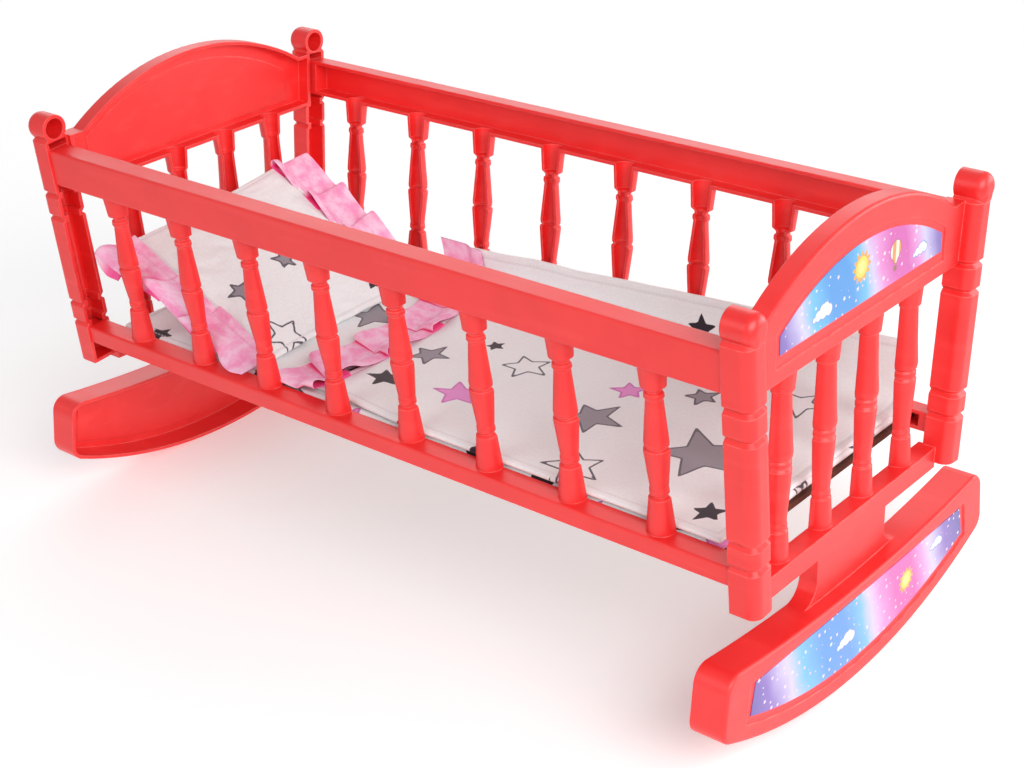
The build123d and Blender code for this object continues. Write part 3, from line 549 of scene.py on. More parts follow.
def smooth_curve(value, table):
    """Value of a curve that passes smoothly through the points of a table."""
    at, of = (np.array(column, float) for column in zip(*table))
    slope = np.gradient(of, at)
    span = np.clip(np.searchsorted(at, value) - 1, 0, len(at) - 2)
    width = at[span + 1] - at[span]
    share = (value - at[span]) / width
    before, after = share < 0, share > 1
    t = np.clip(share, 0, 1)
    low = of[span] * (1 + 2 * t) * (1 - t) ** 2 + of[span + 1] * t * t * (3 - 2 * t)
    bend = width * t * (1 - t) * (slope[span] * (1 - t) - slope[span + 1] * t)
    beyond = np.where(before, share * slope[0], 0) + np.where(after, (share - 1) * slope[-1], 0)
    return low + bend + beyond * width


def from_edge(u, v):
    """How far each point of a rectangle is from the nearest edge."""
    return np.minimum.reduce([u - u.min(), u.max() - u, v - v.min(), v.max() - v])


def round_edge(inside, rim):
    """0 at the edge of a cloth and 1 from the rim inwards, as a round edge rises."""
    return np.sqrt(np.clip(1 - (1 - np.clip(inside / rim, 0, 1)) ** 2, 0, 1))


def furrow(inside, hem, width):
    """1 along the row of stitches that runs that far inside the edge, and 0 away from it."""
    return np.exp(-(((inside - hem) / width) ** 2))


def unit_normals(along, across):
    normal = np.cross(along, across)
    return normal / np.maximum(np.linalg.norm(normal, axis=2, keepdims=True), 1e-9)


def closed_cloth(middle, above, below):
    """Points and faces of a closed cloth: a middle surface, thickened to each side of it.

    Also gives the numbers of the grid's points inside its edge, which the underside has again.
    """
    normal = unit_normals(np.gradient(middle, axis=0), np.gradient(middle, axis=1))
    top = (middle + normal * above[..., None]).reshape(-1, 3)
    bottom = (middle - normal * below[..., None]).reshape(-1, 3)
    index = np.arange(len(top)).reshape(middle.shape[:2])
    inner = index[1:-1, 1:-1].reshape(-1)
    under = index.copy()
    under[1:-1, 1:-1] = (len(top) + np.arange(len(inner))).reshape(under[1:-1, 1:-1].shape)
    faces = []
    for grid, order in ((index, 1), (under, -1)):
        corners = (grid[:-1, :-1], grid[1:, :-1], grid[1:, 1:], grid[:-1, 1:])
        faces.append(np.stack(corners, axis=-1).reshape(-1, 4)[:, ::order])
    return np.concatenate([top, bottom[inner]]), np.concatenate(faces), inner


def both_sides(values, inner):
    """Values of a cloth's grid, for the points of its top and then for those of its underside."""
    top = values.reshape(-1, *values.shape[2:])
    return np.concatenate([top, top[inner]])


def piece(name, points, faces, material, body):
    """A smooth-shaded mesh in metres, from points in millimetres, riding on a body."""
    mesh = bpy.data.meshes.new(name)
    mesh.from_pydata((np.asarray(points) * MM).tolist(), [], np.asarray(faces).tolist())
    mesh.validate()
    mesh.shade_smooth()
    mesh.materials.append(material)
    made = bpy.data.objects.new(name, mesh)
    bpy.context.scene.collection.objects.link(made)
    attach(made, body)
    return made


def put_attribute(made, name, values, kind="FLOAT"):
    attribute = made.data.attributes.new(name, kind, "POINT")
    field = "vector" if kind == "FLOAT_VECTOR" else "value"
    attribute.data.foreach_set(field, np.asarray(values, np.float32).ravel())


def lay_flat(made, u, v, hem, inner):
    """Writes each point's place on the flat cloth and its distance from the row of stitches."""
    flat = both_sides(np.stack([u, v, np.zeros(u.shape)], axis=-1), inner)
    put_attribute(made, "flat", flat, "FLOAT_VECTOR")
    put_attribute(made, "hem", both_sides(hem, inner))
    return flat


# Star print

NOTCH_SHARE = 0.46


def star_outline(u, v, radius, first_tip, seed):
    """The ten corners of a star that is a little uneven, as if cut by hand."""
    rng = np.random.default_rng(seed)
    corners = []
    for index in range(10):
        angle = math.radians(first_tip) + index * math.pi / 5 + rng.uniform(-0.06, 0.06)
        reach = radius * (NOTCH_SHARE if index % 2 else rng.uniform(0.88, 1.14))
        corners.append((u + reach * math.cos(angle), v + reach * math.sin(angle)))
    return np.array(corners)


def outline_distance(x, y, corners):
    """Signed distance to a closed outline, below nought inside it."""
    away = np.full(x.shape, 1e9)
    inside = np.zeros(x.shape, bool)
    for (ax, ay), (bx, by) in zip(corners, np.roll(corners, -1, axis=0)):
        ex, ey = bx - ax, by - ay
        share = np.clip(((x - ax) * ex + (y - ay) * ey) / (ex * ex + ey * ey), 0, 1)
        away = np.minimum(away, np.hypot(x - ax - share * ex, y - ay - share * ey))
        crosses = (ay > y) != (by > y)
        reach = ex * (y - ay) / (ey if abs(ey) > 1e-9 else 1e-9) + ax
        inside ^= crosses & (x < reach)
    return np.where(inside, -away, away)


KINDS = {"black": 0, "grey": 1, "pink": 2, "ring": 3}
FAR = 4.0
STAR_SPACING = 31.0


def print_stars(made, flat, stars):
    """Writes how far each point of the cloth is from each ink's stars."""
    inks = np.full((4, len(flat)), FAR)
    for seed, (kind, u, v, radius, first_tip) in enumerate(stars):
        near = np.nonzero(np.hypot(flat[:, 0] - u, flat[:, 1] - v) < radius * 1.2 + FAR)[0]
        corners = star_outline(u, v, radius, first_tip, seed)
        found = outline_distance(flat[near, 0], flat[near, 1], corners)
        layer = inks[KINDS[kind]]
        layer[near] = np.minimum(layer[near], found)
    put_attribute(made, "ink", inks[:3].T, "FLOAT_VECTOR")
    put_attribute(made, "ring", inks[3])


def scatter(low_u, high_u, low_v, high_v, placed, seed):
    """Stars all over a cloth: those listed, and loose rows of others between them."""
    rng = np.random.default_rng(seed)
    stars = list(placed)
    kinds = ("black", "grey", "ring", "pink", "grey", "black", "ring")
    rows = int((high_u - low_u) / STAR_SPACING) + 2
    columns = int((high_v - low_v) / STAR_SPACING) + 2
    for row in range(rows):
        for column in range(columns):
            u = low_u + (row + 0.5 * (column % 2) + rng.uniform(-0.25, 0.25)) * STAR_SPACING
            v = low_v + (column + rng.uniform(-0.25, 0.25)) * STAR_SPACING
            radius = rng.choice([6.0, 8.0, 10.5, 13.0])
            tip = rng.uniform(0, 72)
            kind = kinds[rng.integers(len(kinds))]
            if all(math.hypot(u - star[1], v - star[2]) > radius + star[3] + 3 for star in stars):
                stars.append((kind, u, v, radius, tip))
    return stars


# Mattress

MATTRESS_RIM = 2.6
MATTRESS_HEM = 4.2


def rounded(u, v, half_u, half_v, corner):
    """Moves the points near each corner of a rectangle so that its corner is round."""
    du = np.clip(np.abs(u) - (half_u - corner), 0, corner) / corner
    dv = np.clip(np.abs(v) - (half_v - corner), 0, corner) / corner
    both = (du > 0) & (dv > 0)
    new_u = np.sign(u) * (half_u - corner + corner * du * np.sqrt(1 - dv**2 / 2))
    new_v = np.sign(v) * (half_v - corner + corner * dv * np.sqrt(1 - du**2 / 2))
    return np.where(both, new_u, u), np.where(both, new_v, v)


def make_mattress():
    u, v = np.meshgrid(
        lines(-MATTRESS_HALF_LENGTH, MATTRESS_HALF_LENGTH, 1.5, MATTRESS_RIM),
        lines(-MATTRESS_HALF_WIDTH, MATTRESS_HALF_WIDTH, 1.5, MATTRESS_RIM),
        indexing="ij",
    )
    inside = from_edge(u, v)
    share = round_edge(inside, MATTRESS_RIM)
    wide, deep = rounded(u, v, MATTRESS_HALF_LENGTH, MATTRESS_HALF_WIDTH, 6.0)
    middle_z = (MATTRESS_TOP + MATTRESS_BOTTOM) / 2
    half = (MATTRESS_TOP - MATTRESS_BOTTOM) / 2
    crown = 0.5 * smooth(inside, 0, 40) - 0.5
    ripple = 0.16 * smooth_noise(u, v, 11.0, 5) + 0.12 * smooth_noise(u, v * 2, 24.0, 6)
    pucker = 0.2 * smooth_noise(u + v, u - v, 4.0, 7) * smooth(inside, 9, 2)
    seam = 0.35 * furrow(inside, MATTRESS_HEM, 0.7)
    above = share * (half + crown + (ripple + pucker) * smooth(inside, 0, 6) - seam - 0.12)
    below = share * (half - seam * 0.3)
    middle = np.stack([wide, deep, np.full(u.shape, middle_z)], axis=-1)
    points, faces, inner = closed_cloth(middle, above, below)
    made = piece("mattress_pad", points, faces, cotton, "mattress")
    placed = [
        ("grey", -85.0, 9.0, 15.0, 60.0),
        ("black", -162.0, -72.0, 8.0, 12.0),
        ("black", -85.0, -73.0, 7.0, 30.0),
        ("ring", -138.0, -24.0, 12.0, 20.0),
        ("pink", -152.0, 24.0, 9.0, 70.0),
        ("grey", -112.0, 52.0, 9.0, 15.0),
        ("black", 58.0, -77.0, 9.0, 90.0),
    ]
    flat = lay_flat(made, u, v, inside - MATTRESS_HEM, inner)
    print_stars(made, flat, scatter(-55, 190, -78, 78, placed, 11))
    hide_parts("mattress")


# Pillow

PILLOW_RIM = 1.6
PILLOW_HEM = 3.0
REAR_BULGE = 2.6
SWELL_CAP = 1.2
CLOTH_SCALE = 10 * MM
CLOTH_FRAMES = 16

pillow_along = Vector(
    (math.cos(TURN) * math.cos(PITCH), math.sin(TURN) * math.cos(PITCH), -math.sin(PITCH))
)
pillow_across = Vector((-math.sin(TURN), math.cos(TURN), 0))
pillow_up = pillow_along.cross(pillow_across)
pillow_turn = np.array([pillow_along, pillow_across, pillow_up])
pillow_centre = np.array(
    (
        -PANEL_X
        + PILLOW_HEAD_GAP
        + PILLOW_LENGTH / 2 * math.cos(PITCH) * math.cos(TURN)
        + PILLOW_WIDTH / 2 * math.sin(TURN),
        PILLOW_SHIFT,
        BEDDING_BOTTOM + PILLOW_LENGTH / 2 * math.sin(PITCH) + PILLOW_SEAM / 2 * math.cos(PITCH),
    )
)


def on_pillow(u, v, lift):
    """World places of points of the pillow. It is twisted: its rear side is the steeper one."""
    share = np.clip(0.5 - u / PILLOW_LENGTH, 0, 1)
    twist = PILLOW_TWIST * share * np.clip(v / (PILLOW_WIDTH / 2), -1.08, 1.08)
    return np.stack([u, v, lift + twist], axis=-1) @ pillow_turn + pillow_centre


def swollen(points, faces, cap):
    """Lets a closed cushion swell as cloth, at ten times its size. The cap limits each move."""
    mesh = bpy.data.meshes.new("cushion_cloth")
    mesh.from_pydata((points * CLOTH_SCALE).tolist(), [], faces.tolist())
    work = bpy.data.objects.new("cushion_cloth", mesh)
    scene = bpy.context.scene
    scene.collection.objects.link(work)
    settings = work.modifiers.new("cloth", "CLOTH").settings
    settings.quality = 6
    settings.mass = 0.02
    settings.tension_stiffness = 25
    settings.compression_stiffness = 8
    settings.shear_stiffness = 6
    settings.bending_stiffness = 0.4
    settings.use_pressure = True
    settings.uniform_pressure_force = 0.2
    settings.effector_weights.gravity = 0
    settings.shrink_min = -0.035
    for step in range(1, CLOTH_FRAMES + 1):
        scene.frame_set(step)
    held = work.evaluated_get(bpy.context.evaluated_depsgraph_get())
    found = np.empty(len(points) * 3)
    held.data.vertices.foreach_get("co", found)
    scene.frame_set(1)
    bpy.data.objects.remove(work)
    bpy.data.meshes.remove(mesh)
    move = found.reshape(-1, 3) / CLOTH_SCALE - points
    size = np.linalg.norm(move, axis=1, keepdims=True)
    return points + move * np.minimum(1, cap / np.maximum(size, 1e-9))


def make_pillow():
    half_u, half_v = PILLOW_LENGTH / 2, PILLOW_WIDTH / 2
    u, v = np.meshgrid(
        lines(-half_u, half_u, 1.2, PILLOW_RIM),
        lines(-half_v, half_v, 1.2, PILLOW_RIM),
        indexing="ij",
    )
    inside = from_edge(u, v)
    share = round_edge(inside, PILLOW_RIM)
    wide, deep = rounded(u, v, half_u, half_v, 3.5)
    # The seams are drawn in between the corners, and the rear one reaches under its ribbon
    drawn = 2.0 * (1 - (v / half_v) ** 2) * np.abs(u / half_u) ** 3
    wide = wide - np.sign(wide) * drawn
    deep = deep - np.sign(deep) * 0.8 * (1 - (u / half_u) ** 2) * np.abs(v / half_v) ** 3
    deep = deep + REAR_BULGE * smooth(v, 20, half_v)
    edge = np.minimum(half_u - np.abs(u), half_v - np.abs(v))
    swell = (1 - (u / half_u) ** 2) ** 0.6 * (1 - (v / half_v) ** 2) ** 0.6
    plump = PILLOW_SEAM / 2 + (PILLOW_THICKNESS - PILLOW_SEAM) / 2 * swell
    angle = np.arctan2(v, u)
    radial = smooth_noise(angle * 22, edge * 0.6, 1.0, 21)
    radial = radial * smooth(edge, 0, 5) * smooth(edge, 26, 8)
    ripple = 0.22 * smooth_noise(u, v, 13.0, 22) + 0.12 * smooth_noise(u * 1.4, v, 6.0, 23)
    seam = 0.35 * furrow(inside, PILLOW_HEM, 0.6)
    above = share * (plump + (0.28 * radial + ripple) * smooth(edge, 0.5, 6) - seam)
    below = share * (plump + 0.25 * radial * smooth(edge, 0.5, 6) - seam)
    middle = np.stack([wide, deep, np.zeros(u.shape)], axis=-1)
    points, faces, inner = closed_cloth(middle, above, below)
    points = swollen(points, faces, SWELL_CAP)
    points = on_pillow(points[:, 0], points[:, 1], points[:, 2])
    points[:, 2] = np.maximum(points[:, 2], BEDDING_BOTTOM - 0.2)
    made = piece("pillow_cushion", points, faces, cotton, "pillow")
    placed = [
        ("grey", 8.9, -31.5, 7.4, -167.0),
        ("grey", 4.6, 3.2, 6.6, -124.0),
        ("ring", 43.5, -33.5, 12.5, 118.0),
        ("black", -38.0, 13.0, 7.6, 218.0),
        ("black", 39.0, 36.5, 7.4, -60.0),
    ]
    flat = lay_flat(made, u, v, inside - PILLOW_HEM, inner)
    print_stars(made, flat, placed)
    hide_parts("pillow")


# Blanket

blanket_front = -bed_half_width(BEDDING_BOTTOM) + BED_SIDE_CLEARANCE
blanket_rear = bed_half_width(BEDDING_BOTTOM) - BED_SIDE_CLEARANCE
SWEEP = math.pi / 2 - LEAN
BLANKET_RIM = 1.3
BLANKET_HEM = 4.0
BLANKET_RUN = 246.0


def section_point(run, rise, height):
    """(y, z) on the blanket's section, and the section's length.

    The run goes along its underside from the front edge, and the height is over its underside.
    """
    up_y, up_z = math.sin(LEAN), math.cos(LEAN)
    top_y = blanket_rear + rise * math.tan(LEAN)
    straight = (rise - TURN_RADIUS * (1 - math.cos(SWEEP))) / math.cos(LEAN)
    centre_y = top_y - up_y * straight - TURN_RADIUS * math.sin(SWEEP)
    centre_z = BEDDING_BOTTOM + TURN_RADIUS
    flat = centre_y - blanket_front
    turned_run = TURN_RADIUS * SWEEP
    angle = np.clip((run - flat) / TURN_RADIUS, 0, SWEEP)
    beyond = np.maximum(run - flat - turned_run, 0)
    radius = TURN_RADIUS - height
    lying = run < flat
    y = np.where(lying, blanket_front + run, centre_y + radius * np.sin(angle) + up_y * beyond)
    z = np.where(lying, BEDDING_BOTTOM + height, centre_z - radius * np.cos(angle) + up_z * beyond)
    return y, z, flat + turned_run + straight


RIBBON_FOOT_EDGE = ((0, -43), (16, -40.5), (52, -39.5), (100, -43.5), (135, -57), (170, -69))


def ribbon_foot_edge(run):
    """Where along the bed the blanket's ribbon ends, at a run along the blanket's section."""
    return smooth_curve(run, RIBBON_FOOT_EDGE)


def section_length(rise):
    return float(section_point(np.zeros(1), rise, 0)[2])


def make_blanket():
    # a goes from the head edge to the foot, b from the front edge to the top of the rear margin
    a, b = np.meshgrid(lines(0, 1, 0.0045, 0.006), lines(0, 1, 0.0075, 0.0095), indexing="ij")
    head_length, foot_length = section_length(HEAD_RISE), section_length(FOOT_RISE)
    half = BLANKET_THICKNESS / 2
    height = half + 0.15
    head_y, head_z, _ = section_point(b * head_length, HEAD_RISE, height)
    foot_y, foot_z, _ = section_point(b * foot_length, FOOT_RISE, height)
    head_x = ribbon_foot_edge(b * head_length) - 6.0
    x = head_x + (BLANKET_FOOT_X - head_x) * a
    y = head_y + (foot_y - head_y) * a
    y = y + 5.0 * smooth(x, 25, -48) * smooth(b, 0.25, 0)
    z = head_z + (foot_z - head_z) * a
    flat_v = b * (head_length + (foot_length - head_length) * a)
    middle = np.stack([x, y, z], axis=-1)
    from_foot = (1 - a) * BLANKET_RUN
    from_top = (1 - b) * (head_length + (foot_length - head_length) * a)
    inside = np.minimum.reduce([a * BLANKET_RUN, from_foot, flat_v, from_top])
    # Shallow wrinkles that fade towards the hems, and a ripple along the standing margin
    lift = 0.35 * (smooth_noise(x * 0.5 + y, y - x * 0.3, 17.0, 31) + 0.6)
    lift += 0.25 * (smooth_noise(x, y * 0.6, 9.0, 32) + 0.5)
    lift *= smooth(inside, 1, 12)
    stand = smooth(flat_v, 150, 168)
    low_foot = smooth(from_foot, 0, 20)
    wave = 0.5 * smooth_noise(x, flat_v * 0.4, 22.0, 33) * stand * low_foot
    middle[..., 1] -= np.abs(wave) + 0.3 * stand
    middle[..., 2] += np.maximum(lift, 0) * (1 - stand)
    brim = 0.5 * smooth_noise(x, flat_v * 0, 30.0, 34) * smooth(from_top, 14, 0)
    middle[..., 2] += brim * low_foot
    thick = round_edge(inside, BLANKET_RIM) * (half - 0.4 * furrow(inside, BLANKET_HEM, 0.7))
    points, faces, inner = closed_cloth(middle, thick, thick)
    points[:, 2] = np.maximum(points[:, 2], MATTRESS_TOP + 0.1)
    made = piece("blanket_cover", points, faces, cotton, "blanket")
    shift = -blanket_front
    standing = section_length(26.0) - 26.0
    placed = [
        ("black", -26.1, -47.5 + shift, 10.6, 124.0),
        ("grey", -25.6, -15.1 + shift, 10.6, 85.0),
        ("black", -5.4, 12.0 + shift, 6.0, 66.0),
        ("ring", 22.1, 2.6 + shift, 13.2, 63.0),
        ("pink", 14.1, -39.0 + shift, 12.8, 124.0),
        ("grey", 80.6, -21.5 + shift, 15.0, 73.0),
        ("pink", 78.6, 10.4 + shift, 8.6, 126.0),
        ("grey", 109.4, 26.0 + shift, 8.4, -79.0),
        ("grey", 142.0, -21.5 + shift, 22.0, 132.0),
        ("black", 172.5, -61.5 + shift, 8.4, -31.0),
        ("ring", 103.1, -63.3 + shift, 14.2, 55.0),
        ("grey", 13.5, -75.5 + shift, 6.5, -144.0),
        ("black", 56.0, -82.0 + shift, 10.5, 90.0),
        ("black", 99.8, -84.6 + shift, 8.0, 90.0),
        ("black", 76.0, standing + 9.0, 9.0, 170.0),
        ("black", 40.0, 40.0 + shift, 8.0, 20.0),
        ("grey", 62.0, 44.0 + shift, 11.0, 0.0),
        ("ring", 150.0, 46.0 + shift, 13.0, 10.0),
        ("grey", 126.0, 62.0 + shift, 9.0, 50.0),
        ("pink", -12.0, 50.0 + shift, 8.6, 40.0),
    ]
    flat = lay_flat(made, x, flat_v, inside - BLANKET_HEM, inner)
    print_stars(made, flat, placed)
    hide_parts("blanket")


# Pleated ribbons

PLEAT_DEPTH = 9.0
LOW_PLY = 0.4
MIDDLE_PLY = 1.0
RIBBON_HALF_THICKNESS = 0.2
RIBBON_RIM = 0.3


def pleat_path(length, starts, high):
    """Path through knife pleats, one row for each of seven values.

    Each plate starts at a fold that lies on the plate before it, and ends under the next one. The
    values are the run along the seam, the height, how far the pleat opens there, how far the fold
    is pulled back, the painted highlight along the fold, the number of the plate and how deep in a
    fold the point is, which sets the painted shade there.
    """
    radius = (MIDDLE_PLY - LOW_PLY) / 2
    path = []
    for s in np.linspace(starts[0] + PLEAT_DEPTH, starts[0], 5)[:-1]:
        path.append((s, MIDDLE_PLY, 0, 0, 0, 0, 1))
    for k, (start, after) in enumerate(zip(starts, list(starts[1:]) + [length])):
        for degrees in np.linspace(-90, -270, 11)[1:-1]:
            turn = math.radians(degrees)
            share = (1 + math.sin(turn)) / 2
            height = MIDDLE_PLY + (high - MIDDLE_PLY) * share
            back = math.cos(turn)
            path.append((start, height, share, back, max(0.0, -back) ** 3, k, 1 - share))
        last = k == len(starts) - 1
        end = length if last else after + PLEAT_DEPTH
        for share in np.linspace(0, 1, 22):
            s = start + (end - start) * share
            t = min(max((s - start) / ((after - start) * 0.86), 0), 1)
            fall = t * t * (3 - 2 * t)
            under = 0 if last else min(max((s - after + 1.8) / 1.4, 0), 1)
            height = high + (LOW_PLY - high) * fall
            path.append((s, height, 1 - fall, 0, 0, k + share * 0.999, under))
        if not last:
            for degrees in np.linspace(-90, 90, 7)[1:-1]:
                turn = math.radians(degrees)
                place = end + radius * math.cos(turn)
                path.append((place, LOW_PLY + radius + radius * math.sin(turn), 0, 0, 0, k + 1, 1))
            for s in np.linspace(end, after, 5):
                path.append((s, MIDDLE_PLY, 0, 0, 0, k + 1, 1))
    return np.array(path).T


def pleated(
    name,
    node,
    base,
    length,
    starts,
    high,
    widths,
    stitch,
    lifts,
    slants,
    seed,
    rise=None,
):
    """A pleated ribbon over a base surface. Its plates open at both long edges by the lifts.

    Starts are the plates' places along the seam, and stitch is where the seam lies across the
    ribbon. Slants tilt the plates, and rise replaces the surface's normal as the way they open.
    """
    run, height, opening, back, painted_fold_highlight, plate, deep = pleat_path(length, starts, high)
    cloth = np.concatenate([[0], np.cumsum(np.hypot(np.diff(run), np.diff(height)))])
    low_w, high_w = widths
    s, w = np.meshgrid(run, lines(low_w, high_w, 1.1, RIBBON_RIM), indexing="ij")

    def at_plate(table):
        return np.interp(plate, np.arange(len(table)), table)[:, None]

    to_low, to_high = smooth(w, stitch, low_w), smooth(w, stitch, high_w)
    lift = at_plate(lifts[0]) * to_low + at_plate(lifts[1]) * to_high
    wave = smooth_noise(s, w, 9.0, seed)
    lift = lift * (1 + 0.25 * wave)
    s = s + at_plate(slants) * (w - stitch) / (high_w - low_w)
    s = s + back[:, None] * (0.9 + 0.2 * lift)
    h = height[:, None] * (0.6 + 0.4 * np.maximum(to_low, to_high)) + 0.12 * wave
    step = 0.4
    along = base(s + step, w) - base(s - step, w)
    across = base(s, w + step) - base(s, w - step)
    normal = unit_normals(along, across)
    normal *= np.sign(normal[..., 2].mean())
    upwards = normal if rise is None else np.array(rise)
    middle = base(s, w) + normal * h[..., None] + upwards * (opening[:, None] * lift)[..., None]
    share = round_edge(np.minimum(w - low_w, high_w - w), RIBBON_RIM)
    share[[0, -1]] = 0
    thick = share * RIBBON_HALF_THICKNESS
    points, faces, inner = closed_cloth(middle, thick, thick)
    made = piece(name, points, faces, ribbon, node.split("_")[0])

    def everywhere(values):
        return np.repeat(values[:, None], w.shape[1], axis=1)

    lay_flat(made, everywhere(cloth), w, w - stitch, inner)
    # A painted highlight along each fold, and painted shade deep in the folds, for the ribbon's
    # colour
    put_attribute(made, "painted_fold_highlight", both_sides(everywhere(painted_fold_highlight), inner))
    put_attribute(made, "deep", both_sides(everywhere(deep), inner))
    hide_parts(node)


# The front ribbon's free edge: (run along the seam, x, y, z)
FRONT_EDGE = (
    (0.0, -190.0, -78.2, 121.0),
    (20.0, -174.0, -77.0, 119.0),
    (35.0, -160.0, -76.2, 117.5),
    (57.0, -141.0, -75.4, 108.0),
    (72.0, -125.0, -75.0, 98.5),
    (79.0, -112.0, -76.0, 96.6),
    (85.0, -105.0, -81.0, 95.4),
    (92.0, -98.0, -84.0, 94.9),
    (103.0, -87.0, -83.6, 95.2),
)


def rear_strip(s, w):
    over = smooth(w, 7.0, 0.0) * (PILLOW_SEAM * 0.9)
    return on_pillow(s - PILLOW_LENGTH / 2, PILLOW_WIDTH / 2 + w, over - PILLOW_SEAM / 2)


def front_strip(s, w):
    """From the seam outwards: down along the side, and out over the lower rail at the foot."""
    seam = on_pillow(s - PILLOW_LENGTH / 2, s * 0 - PILLOW_WIDTH / 2 + 1.2, PILLOW_SEAM / 2 + 0.5)
    runs, *places = zip(*FRONT_EDGE)
    free = np.stack([smooth_curve(s, list(zip(runs, place))) for place in places], axis=-1)
    bend = seam + np.array([0.0, -8.0, -0.4])
    t = (w / FRONT_RUFFLE_WIDTH)[..., None]
    return seam * (1 - t) ** 2 + 2 * bend * t * (1 - t) + free * t**2


def blanket_strip(s, w):
    over = 2.9 * smooth(w, 13.0, 6.0)
    y, z, _ = section_point(s, HEAD_RISE, over + 0.1)
    return np.stack([ribbon_foot_edge(s) - w, y, z], axis=-1)


def make_ruffles():
    pleated(
        "pillow_rear_ribbon",
        "pillow_rear_ruffle",
        rear_strip,
        PILLOW_LENGTH,
        starts=(0.0, 27.5, 54.5, 81.5),
        high=1.9,
        widths=(-1.0, REAR_RUFFLE_WIDTH),
        stitch=7.5,
        lifts=((4.4, 4.2, 4.0, 3.0, 2.0), (1.2, 3.2, 3.4, 3.0, 2.5)),
        slants=(1.0, 2.0, -2.0, 1.0, 0.0),
        seed=61,
    )
    pleated(
        "pillow_front_ribbon",
        "pillow_front_ruffle",
        front_strip,
        PILLOW_LENGTH,
        starts=(1.0, 35.0, 64.0),
        high=1.8,
        widths=(0.0, FRONT_RUFFLE_WIDTH),
        stitch=5.0,
        lifts=((1.0, 1.5, 2.5, 1.5), (12.0, 6.5, 5.0, 0.8)),
        slants=(0.0, -3.0, -4.0, 0.0),
        seed=62,
        rise=(-0.38, -0.1, 0.92),
    )
    pleated(
        "blanket_ribbon",
        "blanket_ruffle",
        blanket_strip,
        section_length(HEAD_RISE),
        starts=(0.0, 17.0, 51.5, 83.0, 114.0, 143.0),
        high=1.9,
        widths=(0.0, BLANKET_RUFFLE_WIDTH),
        stitch=12.5,
        lifts=((3.4, 4.2, 4.2, 3.6, 2.4, 0.8, 0.3), (2.0, 4.4, 2.4, 2.0, 1.6, 0.6, 0.2)),
        slants=(0.0, 13.0, 8.0, 1.0, 0.0, 0.0, 0.0),
        seed=63,
    )


make_mattress()
make_pillow()
make_blanket()
make_ruffles()

# Floor and light

FLOOR_RADIUS = 2200.0
FLOOR_GLOW = 0.28
WORLD_LIGHT = 0.27
GLOSSY_WORLD_LIGHT = 0.7
WHITE = (1, 1, 1, 1)


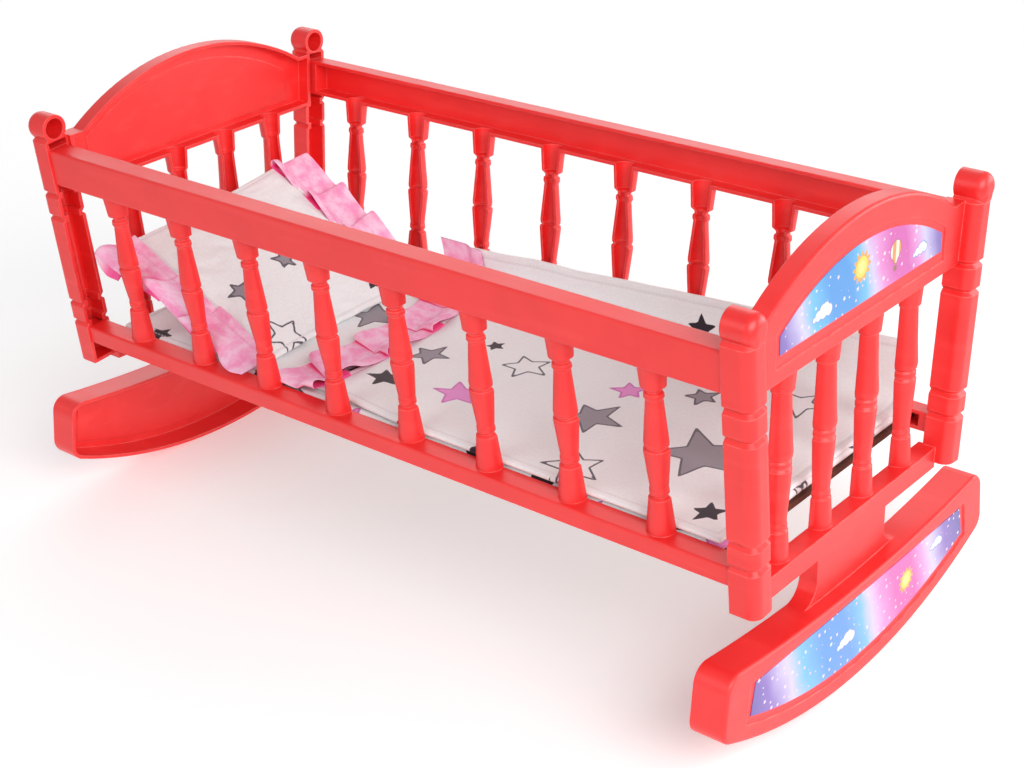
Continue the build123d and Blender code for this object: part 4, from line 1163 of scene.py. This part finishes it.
def make_floor():
    """A pale floor that fades into the white background all round."""
    rings, sectors = 40, 64
    points, faces = [(0.0, 0.0, 0.0)], []
    for ring in range(1, rings + 1):
        radius = FLOOR_RADIUS * (ring / rings) ** 1.6
        for sector in range(sectors):
            angle = 2 * math.pi * sector / sectors
            points.append((radius * math.cos(angle), radius * math.sin(angle), 0.0))
    for sector in range(sectors):
        after = (sector + 1) % sectors
        faces.append((0, 1 + sector, 1 + after))
        for ring in range(rings - 1):
            low, high = 1 + ring * sectors, 1 + (ring + 1) * sectors
            faces.append((low + sector, high + sector, high + after, low + after))
    mesh = bpy.data.meshes.new("floor")
    mesh.from_pydata([tuple(MM * c for c in p) for p in points], [], faces)
    made = bpy.data.objects.new("floor", mesh)
    bpy.context.scene.collection.objects.link(made)
    s = Shader("floor")
    place = s.node("TexCoord").outputs["Object"]
    grain = s.noise(place, 260.0, 2.0)
    s.set(Base_Color=s.mix(grain, (0.92, 0.92, 0.92, 1), (0.95, 0.95, 0.95, 1)), Roughness=0.7)
    s.set(Specular_IOR_Level=0.2, Emission_Color=WHITE, Emission_Strength=FLOOR_GLOW)
    far = s.span(s.vector("LENGTH", place).outputs["Value"], 0.30, 0.95)
    clear = s.node("BsdfTransparent")
    mixed = s.node("MixShader", {0: far, 1: s.bsdf.outputs[0], 2: clear.outputs[0]})
    s.tree.links.new(mixed.outputs[0], s.out.inputs["Surface"])
    mesh.materials.append(s.material)


def make_world():
    """White to the camera, and fainter as light on the pieces and in their reflections."""
    world = bpy.data.worlds.new("world")
    bpy.context.scene.world = world
    world.use_nodes = True
    tree = world.node_tree
    tree.nodes.clear()

    def background(colour, strength):
        made = tree.nodes.new("ShaderNodeBackground")
        made.inputs["Color"].default_value = colour
        made.inputs["Strength"].default_value = strength
        return made.outputs[0]

    def joined(kind, *sources):
        made = tree.nodes.new("ShaderNode" + kind)
        for socket, source in zip(made.inputs, sources):
            tree.links.new(source, socket)
        return made

    rays = tree.nodes.new("ShaderNodeLightPath").outputs
    seen = joined("Math", rays["Is Camera Ray"], rays["Is Transmission Ray"])
    seen.operation = "MAXIMUM"
    light = background((0.98, 0.99, 1.0, 1), WORLD_LIGHT)
    glossy = background(WHITE, GLOSSY_WORLD_LIGHT)
    unseen = joined("MixShader", rays["Is Glossy Ray"], light, glossy).outputs[0]
    mixed = joined("MixShader", seen.outputs[0], unseen, background(WHITE, 1.0)).outputs[0]
    out = tree.nodes.new("ShaderNodeOutputWorld")
    tree.links.new(mixed, out.inputs["Surface"])


def lamp(name, location, target, size, power):
    """A soft rectangular lamp that points at a target."""
    data = bpy.data.lights.new(name, "AREA")
    data.shape = "RECTANGLE"
    data.size, data.size_y = size
    data.energy = power
    made = bpy.data.objects.new(name, data)
    bpy.context.scene.collection.objects.link(made)
    made.location = location
    aim = Vector(target) - Vector(location)
    made.rotation_mode = "QUATERNION"
    made.rotation_quaternion = aim.to_track_quat("-Z", "Y")


make_floor()
make_world()
lamp("key", (1.15, -0.5, 0.8), (0.05, 0, 0.12), (1.2, 0.9), 17.0)
lamp("rim", (0.9, 1.1, 0.4), (0.1, 0, 0.1), (1.2, 0.8), 10.0)
lamp("fill", (-0.4, -1.4, 0.8), (0, 0, 0.1), (1.4, 0.9), 5.5)
lamp("back", (-0.9, 1.05, 0.85), (0, 0, 0.15), (1.5, 1.0), 7.0)

bpy.context.scene.view_settings.view_transform = "Standard"
